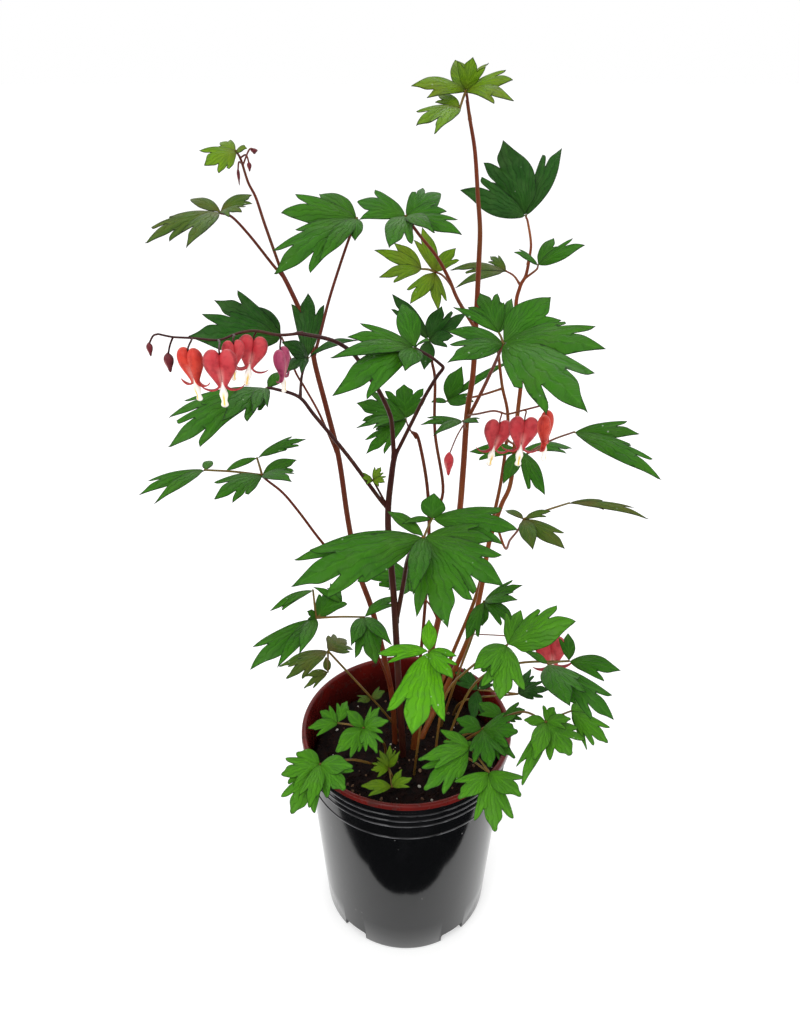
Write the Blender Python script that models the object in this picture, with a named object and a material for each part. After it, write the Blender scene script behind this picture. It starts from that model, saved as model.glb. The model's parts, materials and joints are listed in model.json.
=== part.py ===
# Bleeding heart plant in a thin black nursery pot. Metres, +Z up, origin at the middle of the pot's base.
import math

import bmesh
import bpy
from mathutils import Vector
from mathutils.bvhtree import BVHTree
from mathutils.geometry import delaunay_2d_cdt

# Pot
POT_HEIGHT = 0.186
RIM_RADIUS = 0.0825
BASE_RADIUS = 0.069
WALL = 0.0016
LIP_DEPTH = 0.008
BAND_STEP = 0.0007
BAND_LEVELS = (0.147, 0.160, 0.166, 0.172)
FLOOR_THICKNESS = 0.002
FOOT_NOTCHES = 5
NOTCH_HEIGHT = 0.009
NOTCH_WIDTH = 0.022
NOTCH_START = math.radians(16)
POT_SIDES = 24

# Soil
SOIL_TOP = 0.156
HOLE_GAP = 0.0004
FOOT_DEPTH = 0.022
HOLE_RISE = 0.012
HOLE_FLARE = (1.4, 1.8)
SOIL_SIDES = 20

# The view that the plant's places are read in: 800 by 1024, with its middle at VIEW_CENTRE
VIEW_CENTRE = (400, 512)
VIEW_FOCAL = 800
VIEW_PITCH = math.radians(29.3)
VIEW_HEIGHT = 0.640
VIEW_DISTANCE = 0.4695
VIEW_SIDE = -0.005

# Plant
STEM_SIDES = 5
STALK_SIDES = 3
THIN_STALK = (0.5, 0.45)
BUD_HANG = 0.35
HUB_RADIUS = 0.0016
JOINT_GAP = 0.0005
BLADE_THICKNESS = 0.0007
MM = 0.001
FLAT_ANGLE = math.radians(0.6)
LOST_REACH = 0.0004
SCRAP_SIZE = 0.002
SLIVER = 0.000004


def clear_scene():
    for found in list(bpy.data.objects):
        bpy.data.objects.remove(found, do_unlink=True)


def finish(name, colour, roughness, metallic=0.0):
    """A plain material with the piece's colour."""
    made = bpy.data.materials.new(name)
    made.use_nodes = True
    shader = made.node_tree.nodes["Principled BSDF"]
    shader.inputs["Base Color"].default_value = (*colour, 1.0)
    shader.inputs["Roughness"].default_value = roughness
    shader.inputs["Metallic"].default_value = metallic
    made.diffuse_color = (*colour, 1.0)
    return made


def ray_through(across, down):
    """The direction from the eye through a place in the view."""
    forward = Vector((0.0, math.cos(VIEW_PITCH), -math.sin(VIEW_PITCH)))
    upward = Vector((0.0, math.sin(VIEW_PITCH), math.cos(VIEW_PITCH)))
    right = Vector((1.0, 0.0, 0.0))
    return forward * VIEW_FOCAL + right * (across - VIEW_CENTRE[0]) + upward * (VIEW_CENTRE[1] - down)


def eye():
    return Vector((VIEW_SIDE, -VIEW_DISTANCE, VIEW_HEIGHT))


def place(across, down, depth):
    """The point seen at (across, down) that lies depth millimetres behind the pot's axis."""
    ray = ray_through(across, down)
    return eye() + ray * ((depth * MM + VIEW_DISTANCE) / ray.y)


def on_soil(across, down):
    """The point of the soil's surface seen at (across, down)."""
    ray = ray_through(across, down)
    return eye() + ray * ((SOIL_TOP - VIEW_HEIGHT) / ray.z)


def mesh_object(name, points, faces, material=None):
    mesh = bpy.data.meshes.new(name)
    mesh.from_pydata([tuple(point) for point in points], [], faces)
    mesh.update()
    made = bpy.data.objects.new(name, mesh)
    bpy.context.scene.collection.objects.link(made)
    if material:
        mesh.materials.append(material)
    return made


def smooth_route(route, steps):
    """Points along a Catmull-Rom curve through the route."""
    if len(route) < 3:
        return list(route)
    ends = [route[0] * 2 - route[1]] + list(route) + [route[-1] * 2 - route[-2]]
    found = []
    for i in range(1, len(ends) - 2):
        before, first, second, after = ends[i - 1 : i + 3]
        for step in range(steps):
            t = step / steps
            found.append(
                0.5
                * (
                    2 * first
                    + (second - before) * t
                    + (2 * before - 5 * first + 4 * second - after) * t**2
                    + (3 * first - before - 3 * second + after) * t**3
                )
            )
    return found + [route[-1]]


def tube(route, start_radius, end_radius, sides):
    """Points and faces of a closed tapering tube along a route."""
    turn = None
    points = []
    last = len(route) - 1
    for i, centre in enumerate(route):
        along = (route[min(i + 1, last)] - route[max(i - 1, 0)]).normalized()
        if turn is None:
            turn = along.orthogonal().normalized()
        turn = (turn - along * turn.dot(along)).normalized()
        other = along.cross(turn)
        radius = start_radius + (end_radius - start_radius) * i / last
        for side in range(sides):
            angle = 2 * math.pi * side / sides
            points.append(centre + (turn * math.cos(angle) + other * math.sin(angle)) * radius)
    faces = [tuple(reversed(range(sides)))]
    faces.append(tuple(last * sides + side for side in range(sides)))
    for i in range(last):
        for side in range(sides):
            a = i * sides + side
            b = i * sides + (side + 1) % sides
            faces.append((a, b, b + sides, a + sides))
    return points, faces


def ball(centre, radius, stretch=(1, 1, 1), level=1):
    """Points and faces of a closed rounded lump."""
    shape = bmesh.new()
    bmesh.ops.create_icosphere(shape, subdivisions=level, radius=radius)
    points = [centre + Vector([v.co[i] * stretch[i] for i in range(3)]) for v in shape.verts]
    faces = [tuple(v.index for v in face.verts) for face in shape.faces]
    shape.free()
    return points, faces


def knot(centre, radius):
    """Points and faces of the small eight-faced joint that leaflets grow from."""
    ring = [Vector((math.cos(math.pi * i / 2), math.sin(math.pi * i / 2), 0)) for i in range(4)]
    points = [centre + spot * radius for spot in ring + [Vector((0, 0, 1)), Vector((0, 0, -1))]]
    faces = [(i, (i + 1) % 4, 4) for i in range(4)] + [((i + 1) % 4, i, 5) for i in range(4)]
    return points, faces


# Half outlines of a leaflet: (how far along, how far out), from the stalk to the tip
LEAF_SIDES = {
    "p": ((0.34, 0.60), (0.68, 0.60)),
    "l": ((0.34, 0.58), (0.78, 1.00), (0.64, 0.44)),
    "t": ((0.26, 0.52), (0.53, 0.96), (0.54, 0.74), (0.82, 0.90), (0.68, 0.40)),
    "s": ((0.50, 0.80),),
}
RIB_PLACE = 0.45
LEAF_ARCH = 0.10
SMALL_LEAFLET = 0.0145


def blade(base, tip, width, sides, face, arch):
    """Points and faces of one leaflet from its stalk's foot to its tip."""
    along = tip - base
    length = along.length
    along.normalize()
    toward_eye = (eye() - base).normalized()
    up = Vector((0.0, 0.0, 1.0)) * (1 - face) + toward_eye * face
    normal = (up - along * up.dot(along)).normalized()
    across = along.cross(normal)
    outline = [(0.0, 0.0)]
    outline += [(u, -v) for u, v in LEAF_SIDES[sides[1]]]
    outline += [(1.0, 0.0)]
    outline += [(u, v) for u, v in reversed(LEAF_SIDES[sides[0]])]
    flat = [Vector((u * length, v * width / 2)) for u, v in outline]
    count = len(flat)
    edges = [(i, (i + 1) % count) for i in range(count)]
    if width > SMALL_LEAFLET:
        flat.append(Vector((RIB_PLACE * length, 0.0)))
    places, _, triangles, *_ = delaunay_2d_cdt(flat, edges, [], 1, 1e-7)
    top = []
    for u, v in places:
        part = u / length
        rise = arch * length * 4 * part * (1 - part) - 0.25 * abs(v) * (1 - 0.3 * part)
        top.append(base + along * u - across * v + normal * rise)
    drop = normal * BLADE_THICKNESS
    points = [p + drop / 2 for p in top] + [p - drop / 2 for p in top]
    shift = len(top)
    area = sum(
        (places[a] - places[c]).cross(places[b] - places[c]) for a, b, c in triangles
    )
    if area < 0:
        triangles = [tuple(reversed(t)) for t in triangles]
    faces = [tuple(t) for t in triangles] + [tuple(i + shift for i in reversed(t)) for t in triangles]
    used = {}
    for a, b, c in triangles:
        for start, end in ((a, b), (b, c), (c, a)):
            used[(start, end)] = True
    for start, end in list(used):
        if (end, start) not in used:
            faces.append((end, start, start + shift))
            faces.append((end, start + shift, end + shift))
    return points, faces


def outward(points, faces):
    """The same closed shape with its faces turned out."""
    shape = bmesh.new()
    made = [shape.verts.new(p) for p in points]
    for face in faces:
        shape.faces.new([made[i] for i in face])
    bmesh.ops.recalc_face_normals(shape, faces=shape.faces)
    if shape.calc_volume(signed=True) < 0:
        bmesh.ops.reverse_faces(shape, faces=shape.faces)
    bmesh.ops.triangulate(shape, faces=shape.faces)
    shape.verts.index_update()
    found = [v.co.copy() for v in shape.verts]
    turned = [tuple(v.index for v in face.verts) for face in shape.faces]
    shape.free()
    return found, turned


def fuse(name, shapes, material):
    """One object: the union of closed shapes."""
    first, *rest = [outward(*shape) for shape in shapes]
    joined = mesh_object(name, *first, material)
    if not rest:
        return joined
    pieces = bpy.data.collections.new(name + ".pieces")
    bpy.context.scene.collection.children.link(pieces)
    for number, shape in enumerate(rest):
        piece = mesh_object(f"{name}.piece{number}", *shape)
        bpy.context.scene.collection.objects.unlink(piece)
        pieces.objects.link(piece)
    before = joined.data
    reach = corners_of([point for points, _ in [first] + rest for point in points])
    for solver in ("EXACT", "MANIFOLD"):
        joined.data = before
        union = joined.modifiers.new("union", "BOOLEAN")
        union.operation = "UNION"
        union.operand_type = "COLLECTION"
        union.collection = pieces
        union.solver = solver
        apply_modifiers(joined)
        found = corners_of([v.co for v in joined.data.vertices])
        if all((a - b).length < LOST_REACH for a, b in zip(reach, found)):
            break
    for piece in list(pieces.objects):
        bpy.data.objects.remove(piece, do_unlink=True)
    bpy.data.collections.remove(pieces)
    drop_scraps(joined)
    join_flat_faces(joined)
    return joined


def drop_scraps(target):
    """Keeps the largest body, so that sealed hollows are filled and loose scraps go."""
    shape = bmesh.new()
    shape.from_mesh(target.data)
    left = set(shape.verts)
    bodies = []
    while left:
        body = {left.pop()}
        edge = set(body)
        while edge:
            edge = {e.other_vert(v) for v in edge for e in v.link_edges} - body
            body |= edge
        left -= body
        bodies.append(body)
    bodies.sort(key=len)
    for body in bodies[:-1]:
        low, high = corners_of([v.co for v in body])
        if (high - low).length > SCRAP_SIZE:
            print(target.name, "drops a body of", round((high - low).length / MM, 1), "mm")
        bmesh.ops.delete(shape, geom=list(body), context="VERTS")
    shape.to_mesh(target.data)
    shape.free()


def corners_of(points):
    """The lowest and the highest corner of some points."""
    low = Vector([min(point[i] for point in points) for i in range(3)])
    high = Vector([max(point[i] for point in points) for i in range(3)])
    return low, high


def apply_modifiers(target):
    graph = bpy.context.evaluated_depsgraph_get()
    graph.update()
    result = bpy.data.meshes.new_from_object(target.evaluated_get(graph))
    target.modifiers.clear()
    target.data = result


def join_flat_faces(target):
    """Makes one face of those that lie in one plane, so that a union leaves few triangles.

    Slivers are closed first, unless that would open the solid.
    """
    for sliver in (SLIVER, 0):
        shape = bmesh.new()
        shape.from_mesh(target.data)
        if sliver:
            bmesh.ops.dissolve_degenerate(shape, dist=sliver, edges=shape.edges)
        bmesh.ops.dissolve_limit(
            shape, angle_limit=FLAT_ANGLE, use_dissolve_boundaries=False, verts=shape.verts, edges=shape.edges
        )
        bmesh.ops.triangulate(shape, faces=shape.faces)
        whole = all(edge.is_manifold for edge in shape.edges)
        if whole or not sliver:
            shape.to_mesh(target.data)
        shape.free()
        if whole:
            break


def revolve(name, profile, sides, material):
    """A turned solid whose profile starts and ends on the axis or closes on itself."""
    mesh = bpy.data.meshes.new(name)
    shape = bmesh.new()
    rings = []
    for radius, level in profile:
        if radius == 0:
            rings.append([shape.verts.new((0, 0, level))])
            continue
        ring = []
        for side in range(sides):
            angle = 2 * math.pi * side / sides
            ring.append(shape.verts.new((radius * math.cos(angle), radius * math.sin(angle), level)))
        rings.append(ring)
    for first, second in zip(rings, rings[1:]):
        for side in range(sides):
            after = (side + 1) % sides
            corners = [first[side % len(first)], first[after % len(first)]]
            corners += [second[after % len(second)], second[side % len(second)]]
            kept = list(dict.fromkeys(corners))
            shape.faces.new(kept)
    bmesh.ops.recalc_face_normals(shape, faces=shape.faces)
    if shape.calc_volume(signed=True) < 0:
        bmesh.ops.reverse_faces(shape, faces=shape.faces)
    shape.to_mesh(mesh)
    shape.free()
    made = bpy.data.objects.new(name, mesh)
    bpy.context.scene.collection.objects.link(made)
    mesh.materials.append(material)
    return made


def wall_radius(level):
    """The pot's outer radius at a height, between its base and the foot of its lip."""
    top = RIM_RADIUS - 0.0025
    return BASE_RADIUS + (top - BASE_RADIUS) * level / POT_HEIGHT


def pot_profile():
    lip_foot = POT_HEIGHT - LIP_DEPTH
    outer = [(0, 0.0), (BASE_RADIUS - 0.002, 0.0), (BASE_RADIUS, 0.002)]
    for level in BAND_LEVELS:
        outer.append((wall_radius(level), level))
        outer.append((wall_radius(level) + BAND_STEP, level + 0.001))
    outer.append((wall_radius(lip_foot), lip_foot))
    outer.append((RIM_RADIUS - 0.0004, lip_foot + 0.0008))
    outer.append((RIM_RADIUS, lip_foot + 0.003))
    outer.append((RIM_RADIUS, POT_HEIGHT - 0.0020))
    outer.append((RIM_RADIUS - 0.0014, POT_HEIGHT))
    outer.append((RIM_RADIUS - 0.0038, POT_HEIGHT - 0.0004))
    outer.append((wall_radius(lip_foot) - WALL, POT_HEIGHT - 0.0030))
    outer.append((BASE_RADIUS - WALL, FLOOR_THICKNESS + 0.003))
    outer.append((BASE_RADIUS - WALL - 0.003, FLOOR_THICKNESS))
    outer.append((0, FLOOR_THICKNESS))
    return outer


def make_pot():
    """The thin-walled pot with its rolled lip and the drain notches round its foot."""
    black = finish("pot_plastic", (0.012, 0.012, 0.013), 0.18)
    pot = revolve("pot", pot_profile(), POT_SIDES, black)
    for number in range(FOOT_NOTCHES):
        angle = 2 * math.pi * number / FOOT_NOTCHES + NOTCH_START
        out = Vector((math.cos(angle), math.sin(angle), 0))
        side = Vector((-math.sin(angle), math.cos(angle), 0))
        reach = (BASE_RADIUS - 0.012, BASE_RADIUS + 0.006)
        levels = (-0.002, NOTCH_HEIGHT)
        corners = [
            out * far + side * across + Vector((0, 0, level))
            for level in levels
            for far, across in (
                (reach[0], -NOTCH_WIDTH / 2),
                (reach[1], -NOTCH_WIDTH / 2),
                (reach[1], NOTCH_WIDTH / 2),
                (reach[0], NOTCH_WIDTH / 2),
            )
        ]
        box = [(0, 1, 2, 3), (4, 5, 6, 7), (0, 1, 5, 4), (1, 2, 6, 5), (2, 3, 7, 6), (3, 0, 4, 7)]
        cutter = mesh_object(f"notch{number}", *outward(corners, box))
        cut = pot.modifiers.new(cutter.name, "BOOLEAN")
        cut.operation = "DIFFERENCE"
        cut.object = cutter
        apply_modifiers(pot)
        bpy.data.objects.remove(cutter, do_unlink=True)
    pot.data.shade_smooth()
    pot.data.set_sharp_from_angle(angle=math.radians(35))
    return pot


def soil_profile():
    inner = [(0, NOTCH_HEIGHT + 0.002)]
    inner.append((wall_radius(NOTCH_HEIGHT) - WALL - 0.006, NOTCH_HEIGHT + 0.002))
    inner.append((wall_radius(NOTCH_HEIGHT + 0.006) - WALL - 0.0022, NOTCH_HEIGHT + 0.010))
    edge = RIM_RADIUS - 0.0045 - WALL - (POT_HEIGHT - SOIL_TOP) * 0.08
    inner.append((edge - 0.0012, SOIL_TOP - 0.004))
    inner.append((edge - 0.004, SOIL_TOP - 0.001))
    inner.append((edge * 0.6, SOIL_TOP))
    inner.append((0, SOIL_TOP + 0.002))
    return inner


def make_soil(feet):
    """The potting soil, with a plain hole for each stem and stalk that stands in it."""
    brown = finish("potting_soil", (0.035, 0.018, 0.012), 0.95)
    soil = revolve("soil", soil_profile(), SOIL_SIDES, brown)
    holes = bpy.data.collections.new("holes")
    bpy.context.scene.collection.children.link(holes)
    shapes = []
    for foot, below, radius in feet:
        past = foot + Vector((0, 0, HOLE_RISE))
        low = below - Vector((0, 0, HOLE_GAP))
        shapes.append(outward(*tube([low, past], radius * HOLE_FLARE[0], radius * HOLE_FLARE[1], 4)))
    for number, shape in enumerate(shapes):
        hole = mesh_object(f"hole{number}", *shape)
        bpy.context.scene.collection.objects.unlink(hole)
        holes.objects.link(hole)
    cut = soil.modifiers.new("holes", "BOOLEAN")
    cut.operation = "DIFFERENCE"
    cut.operand_type = "COLLECTION"
    cut.collection = holes
    apply_modifiers(soil)
    for hole in list(holes.objects):
        bpy.data.objects.remove(hole, do_unlink=True)
    bpy.data.collections.remove(holes)
    join_flat_faces(soil)
    return soil


# Each shoot: where it leaves the soil, then its stem and branches as (across, down, depth) places in
# the view, with their thickness in millimetres at the start and the end. A branch marked "leaf" stops
# just short of the leaf that it carries.
SHOOTS = {
    "shoot_front": {
        "foot": (403, 757),
        "branches": [
            ("stem", 5.8, 3.4, [(399, 690, -18), (394, 600, -24), (388, 523, -28), (392, 472, -30), (396, 450, -32)]),
            ("stem", 2.9, 2.0, [(394, 458, -31), (392, 426, -36), (389, 412, -40), (379, 391, -46), (369, 377, -52),
                                (356, 357, -60), (345, 347, -68), (328, 339, -76), (297, 333, -86)]),
            ("stem", 1.6, 1.0, [(303, 333, -84), (279, 335, -88), (257, 331, -90), (243, 332, -91), (233, 335, -91),
                                (218, 340, -92), (192, 338, -93), (173, 337, -94), (158, 334, -95)]),
            ("leaf", 2.4, 1.6, [(395, 456, -31), (413, 420, -38), (424, 398, -44), (436, 378, -50), (442, 370, -53),
                                (443, 367, -54), (440, 364, -55), (431, 357, -58), (415, 348, -62)]),
            ("leaf", 2.8, 1.6, [(388, 508, -28), (379, 498, -30), (348, 456, -36), (315, 416, -42), (299, 397, -44),
                                (275, 389, -44), (267, 388, -44)]),
            ("leaf", 1.8, 1.2, [(300, 398, -44), (302, 375, -36), (308, 358, -26)]),
            ("leaf", 1.6, 1.2, [(387, 506, -28), (379, 491, -33), (373, 480, -38)]),
            ("leaf", 3.6, 2.2, [(396, 622, -22), (400, 602, -24), (404, 580, -30), (407, 562, -40), (412, 549, -54),
                                (418, 542, -62), (424, 537, -70)]),
        ],
    },
    "shoot_left": {
        "foot": (395, 744),
        "branches": [
            ("stem", 4.6, 2.6, [(391, 690, 6), (374, 616, 4), (358, 570, 6), (348, 520, 8), (339, 459, 10),
                                (327, 410, 10), (315, 364, 10), (310, 333, 10), (304, 319, 10), (289, 287, 10),
                                (280, 270, 10)]),
            ("leaf", 1.9, 1.3, [(283, 276, 10), (273, 265, 8), (250, 236, 0), (232, 217, -8), (220, 213, -12)]),
            ("leaf", 1.9, 1.2, [(283, 276, 10), (265, 225, 14), (256, 198, 14), (248, 182, 12), (241, 160, 10),
                                (236, 151, 8)]),
            ("leaf", 2.1, 1.5, [(314, 356, 10), (320, 335, 18), (329, 300, 24), (340, 265, 26), (350, 236, 24),
                                (357, 219, 20)]),
            ("leaf", 2.2, 1.4, [(358, 570, 6), (342, 564, -4), (321, 541, -14), (299, 512, -24), (283, 493, -30),
                                (268, 481, -32), (262, 476, -34)]),
            ("leaf", 1.6, 1.2, [(336, 452, 10), (320, 415, -2), (305, 388, 0), (296, 373, -6), (288, 352, -6),
                                (282, 338, -2)]),
            ("leaf", 2.2, 1.4, [(390, 688, 6), (385, 672, -8), (379, 658, -18), (370, 636, -28), (364, 617, -34)]),
        ],
    },
    "shoot_tall": {
        "foot": (413, 751),
        "branches": [
            ("stem", 5.4, 1.7, [(425, 680, 12), (445, 590, 14), (458, 523, 16), (463, 472, 16), (467, 415, 16),
                                (473, 374, 16), (476, 322, 16), (479, 260, 16), (480, 229, 15), (478, 198, 14),
                                (475, 152, 12), (470, 120, 10), (467, 100, 8)]),
            ("leaf", 1.8, 1.2, [(470, 120, 10), (467, 96, 8), (466, 91, 8)]),
            ("leaf", 2.6, 1.7, [(467, 420, 16), (480, 395, 4), (491, 372, -12), (499, 354, -28), (503, 343, -36)]),
            ("stem", 1.4, 1.0, [(467, 415, 16), (477, 414, -4), (492, 411, -24), (500, 412, -31), (508, 414, -38),
                                (524, 410, -46), (543, 405, -54), (548, 402, -55)]),
            ("leaf", 2.4, 1.6, [(475, 328, 16), (458, 300, 0), (449, 279, -10), (437, 257, -18), (421, 237, -24),
                                (406, 217, -28)]),
            ("leaf", 1.6, 1.1, [(458, 300, 0), (450, 284, 14), (442, 275, 26), (435, 272, 34)]),
            ("leaf", 1.6, 1.1, [(438, 620, 13), (430, 605, 13), (420, 594, 12), (414, 585, 12)]),
            ("leaf", 1.4, 1.0, [(466, 430, 16), (464, 424, 6), (463, 421, -4)]),
        ],
    },
    "shoot_right": {
        "foot": (421, 740),
        "branches": [
            ("stem", 4.8, 1.9, [(445, 690, 34), (470, 634, 40), (482, 585, 44), (489, 543, 46), (501, 506, 46),
                                (511, 481, 46), (517, 419, 46), (522, 364, 46), (516, 310, 46), (520, 287, 46),
                                (526, 275, 46), (530, 255, 47)]),
            ("leaf", 1.8, 1.2, [(528, 265, 46), (531, 245, 48), (528, 223, 50), (526, 217, 50)]),
            ("leaf", 1.6, 1.1, [(524, 279, 46), (536, 270, 38), (538, 266, 34)]),
            ("leaf", 1.6, 1.1, [(521, 286, 46), (514, 276, 52), (506, 271, 58)]),
            ("leaf", 2.0, 1.4, [(495, 520, 46), (505, 548, 26), (510, 540, 8), (518, 530, -6), (524, 519, -14)]),
        ],
    },
    "shoot_back": {
        "foot": (426, 727),
        "branches": [
            ("stem", 3.8, 1.8, [(450, 660, 62), (478, 590, 66), (494, 515, 70), (502, 475, 70), (508, 420, 70),
                                (502, 385, 70), (498, 350, 70), (496, 340, 68)]),
            ("leaf", 1.8, 1.2, [(507, 440, 70), (516, 446, 58), (520, 451, 48)]),
            ("leaf", 1.8, 1.2, [(503, 470, 70), (530, 452, 50), (552, 440, 24), (574, 432, 2)]),
            ("leaf", 1.8, 1.2, [(504, 388, 70), (478, 396, 72), (455, 400, 70), (447, 401, 68)]),
        ],
    },
    "shoot_thin": {
        "foot": (408, 730),
        "branches": [
            ("stem", 3.2, 2.4, [(420, 660, 52), (428, 560, 56), (428, 495, 58), (419, 441, 58), (412, 432, 58)]),
            ("leaf", 1.5, 1.1, [(416, 438, 58), (409, 428, 54), (406, 420, 48)]),
            ("leaf", 2.5, 1.8, [(429, 520, 58), (443, 492, 46), (435, 433, 42), (435, 381, 42), (432, 362, 40),
                                (429, 340, 36)]),
        ],
    },
}

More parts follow.
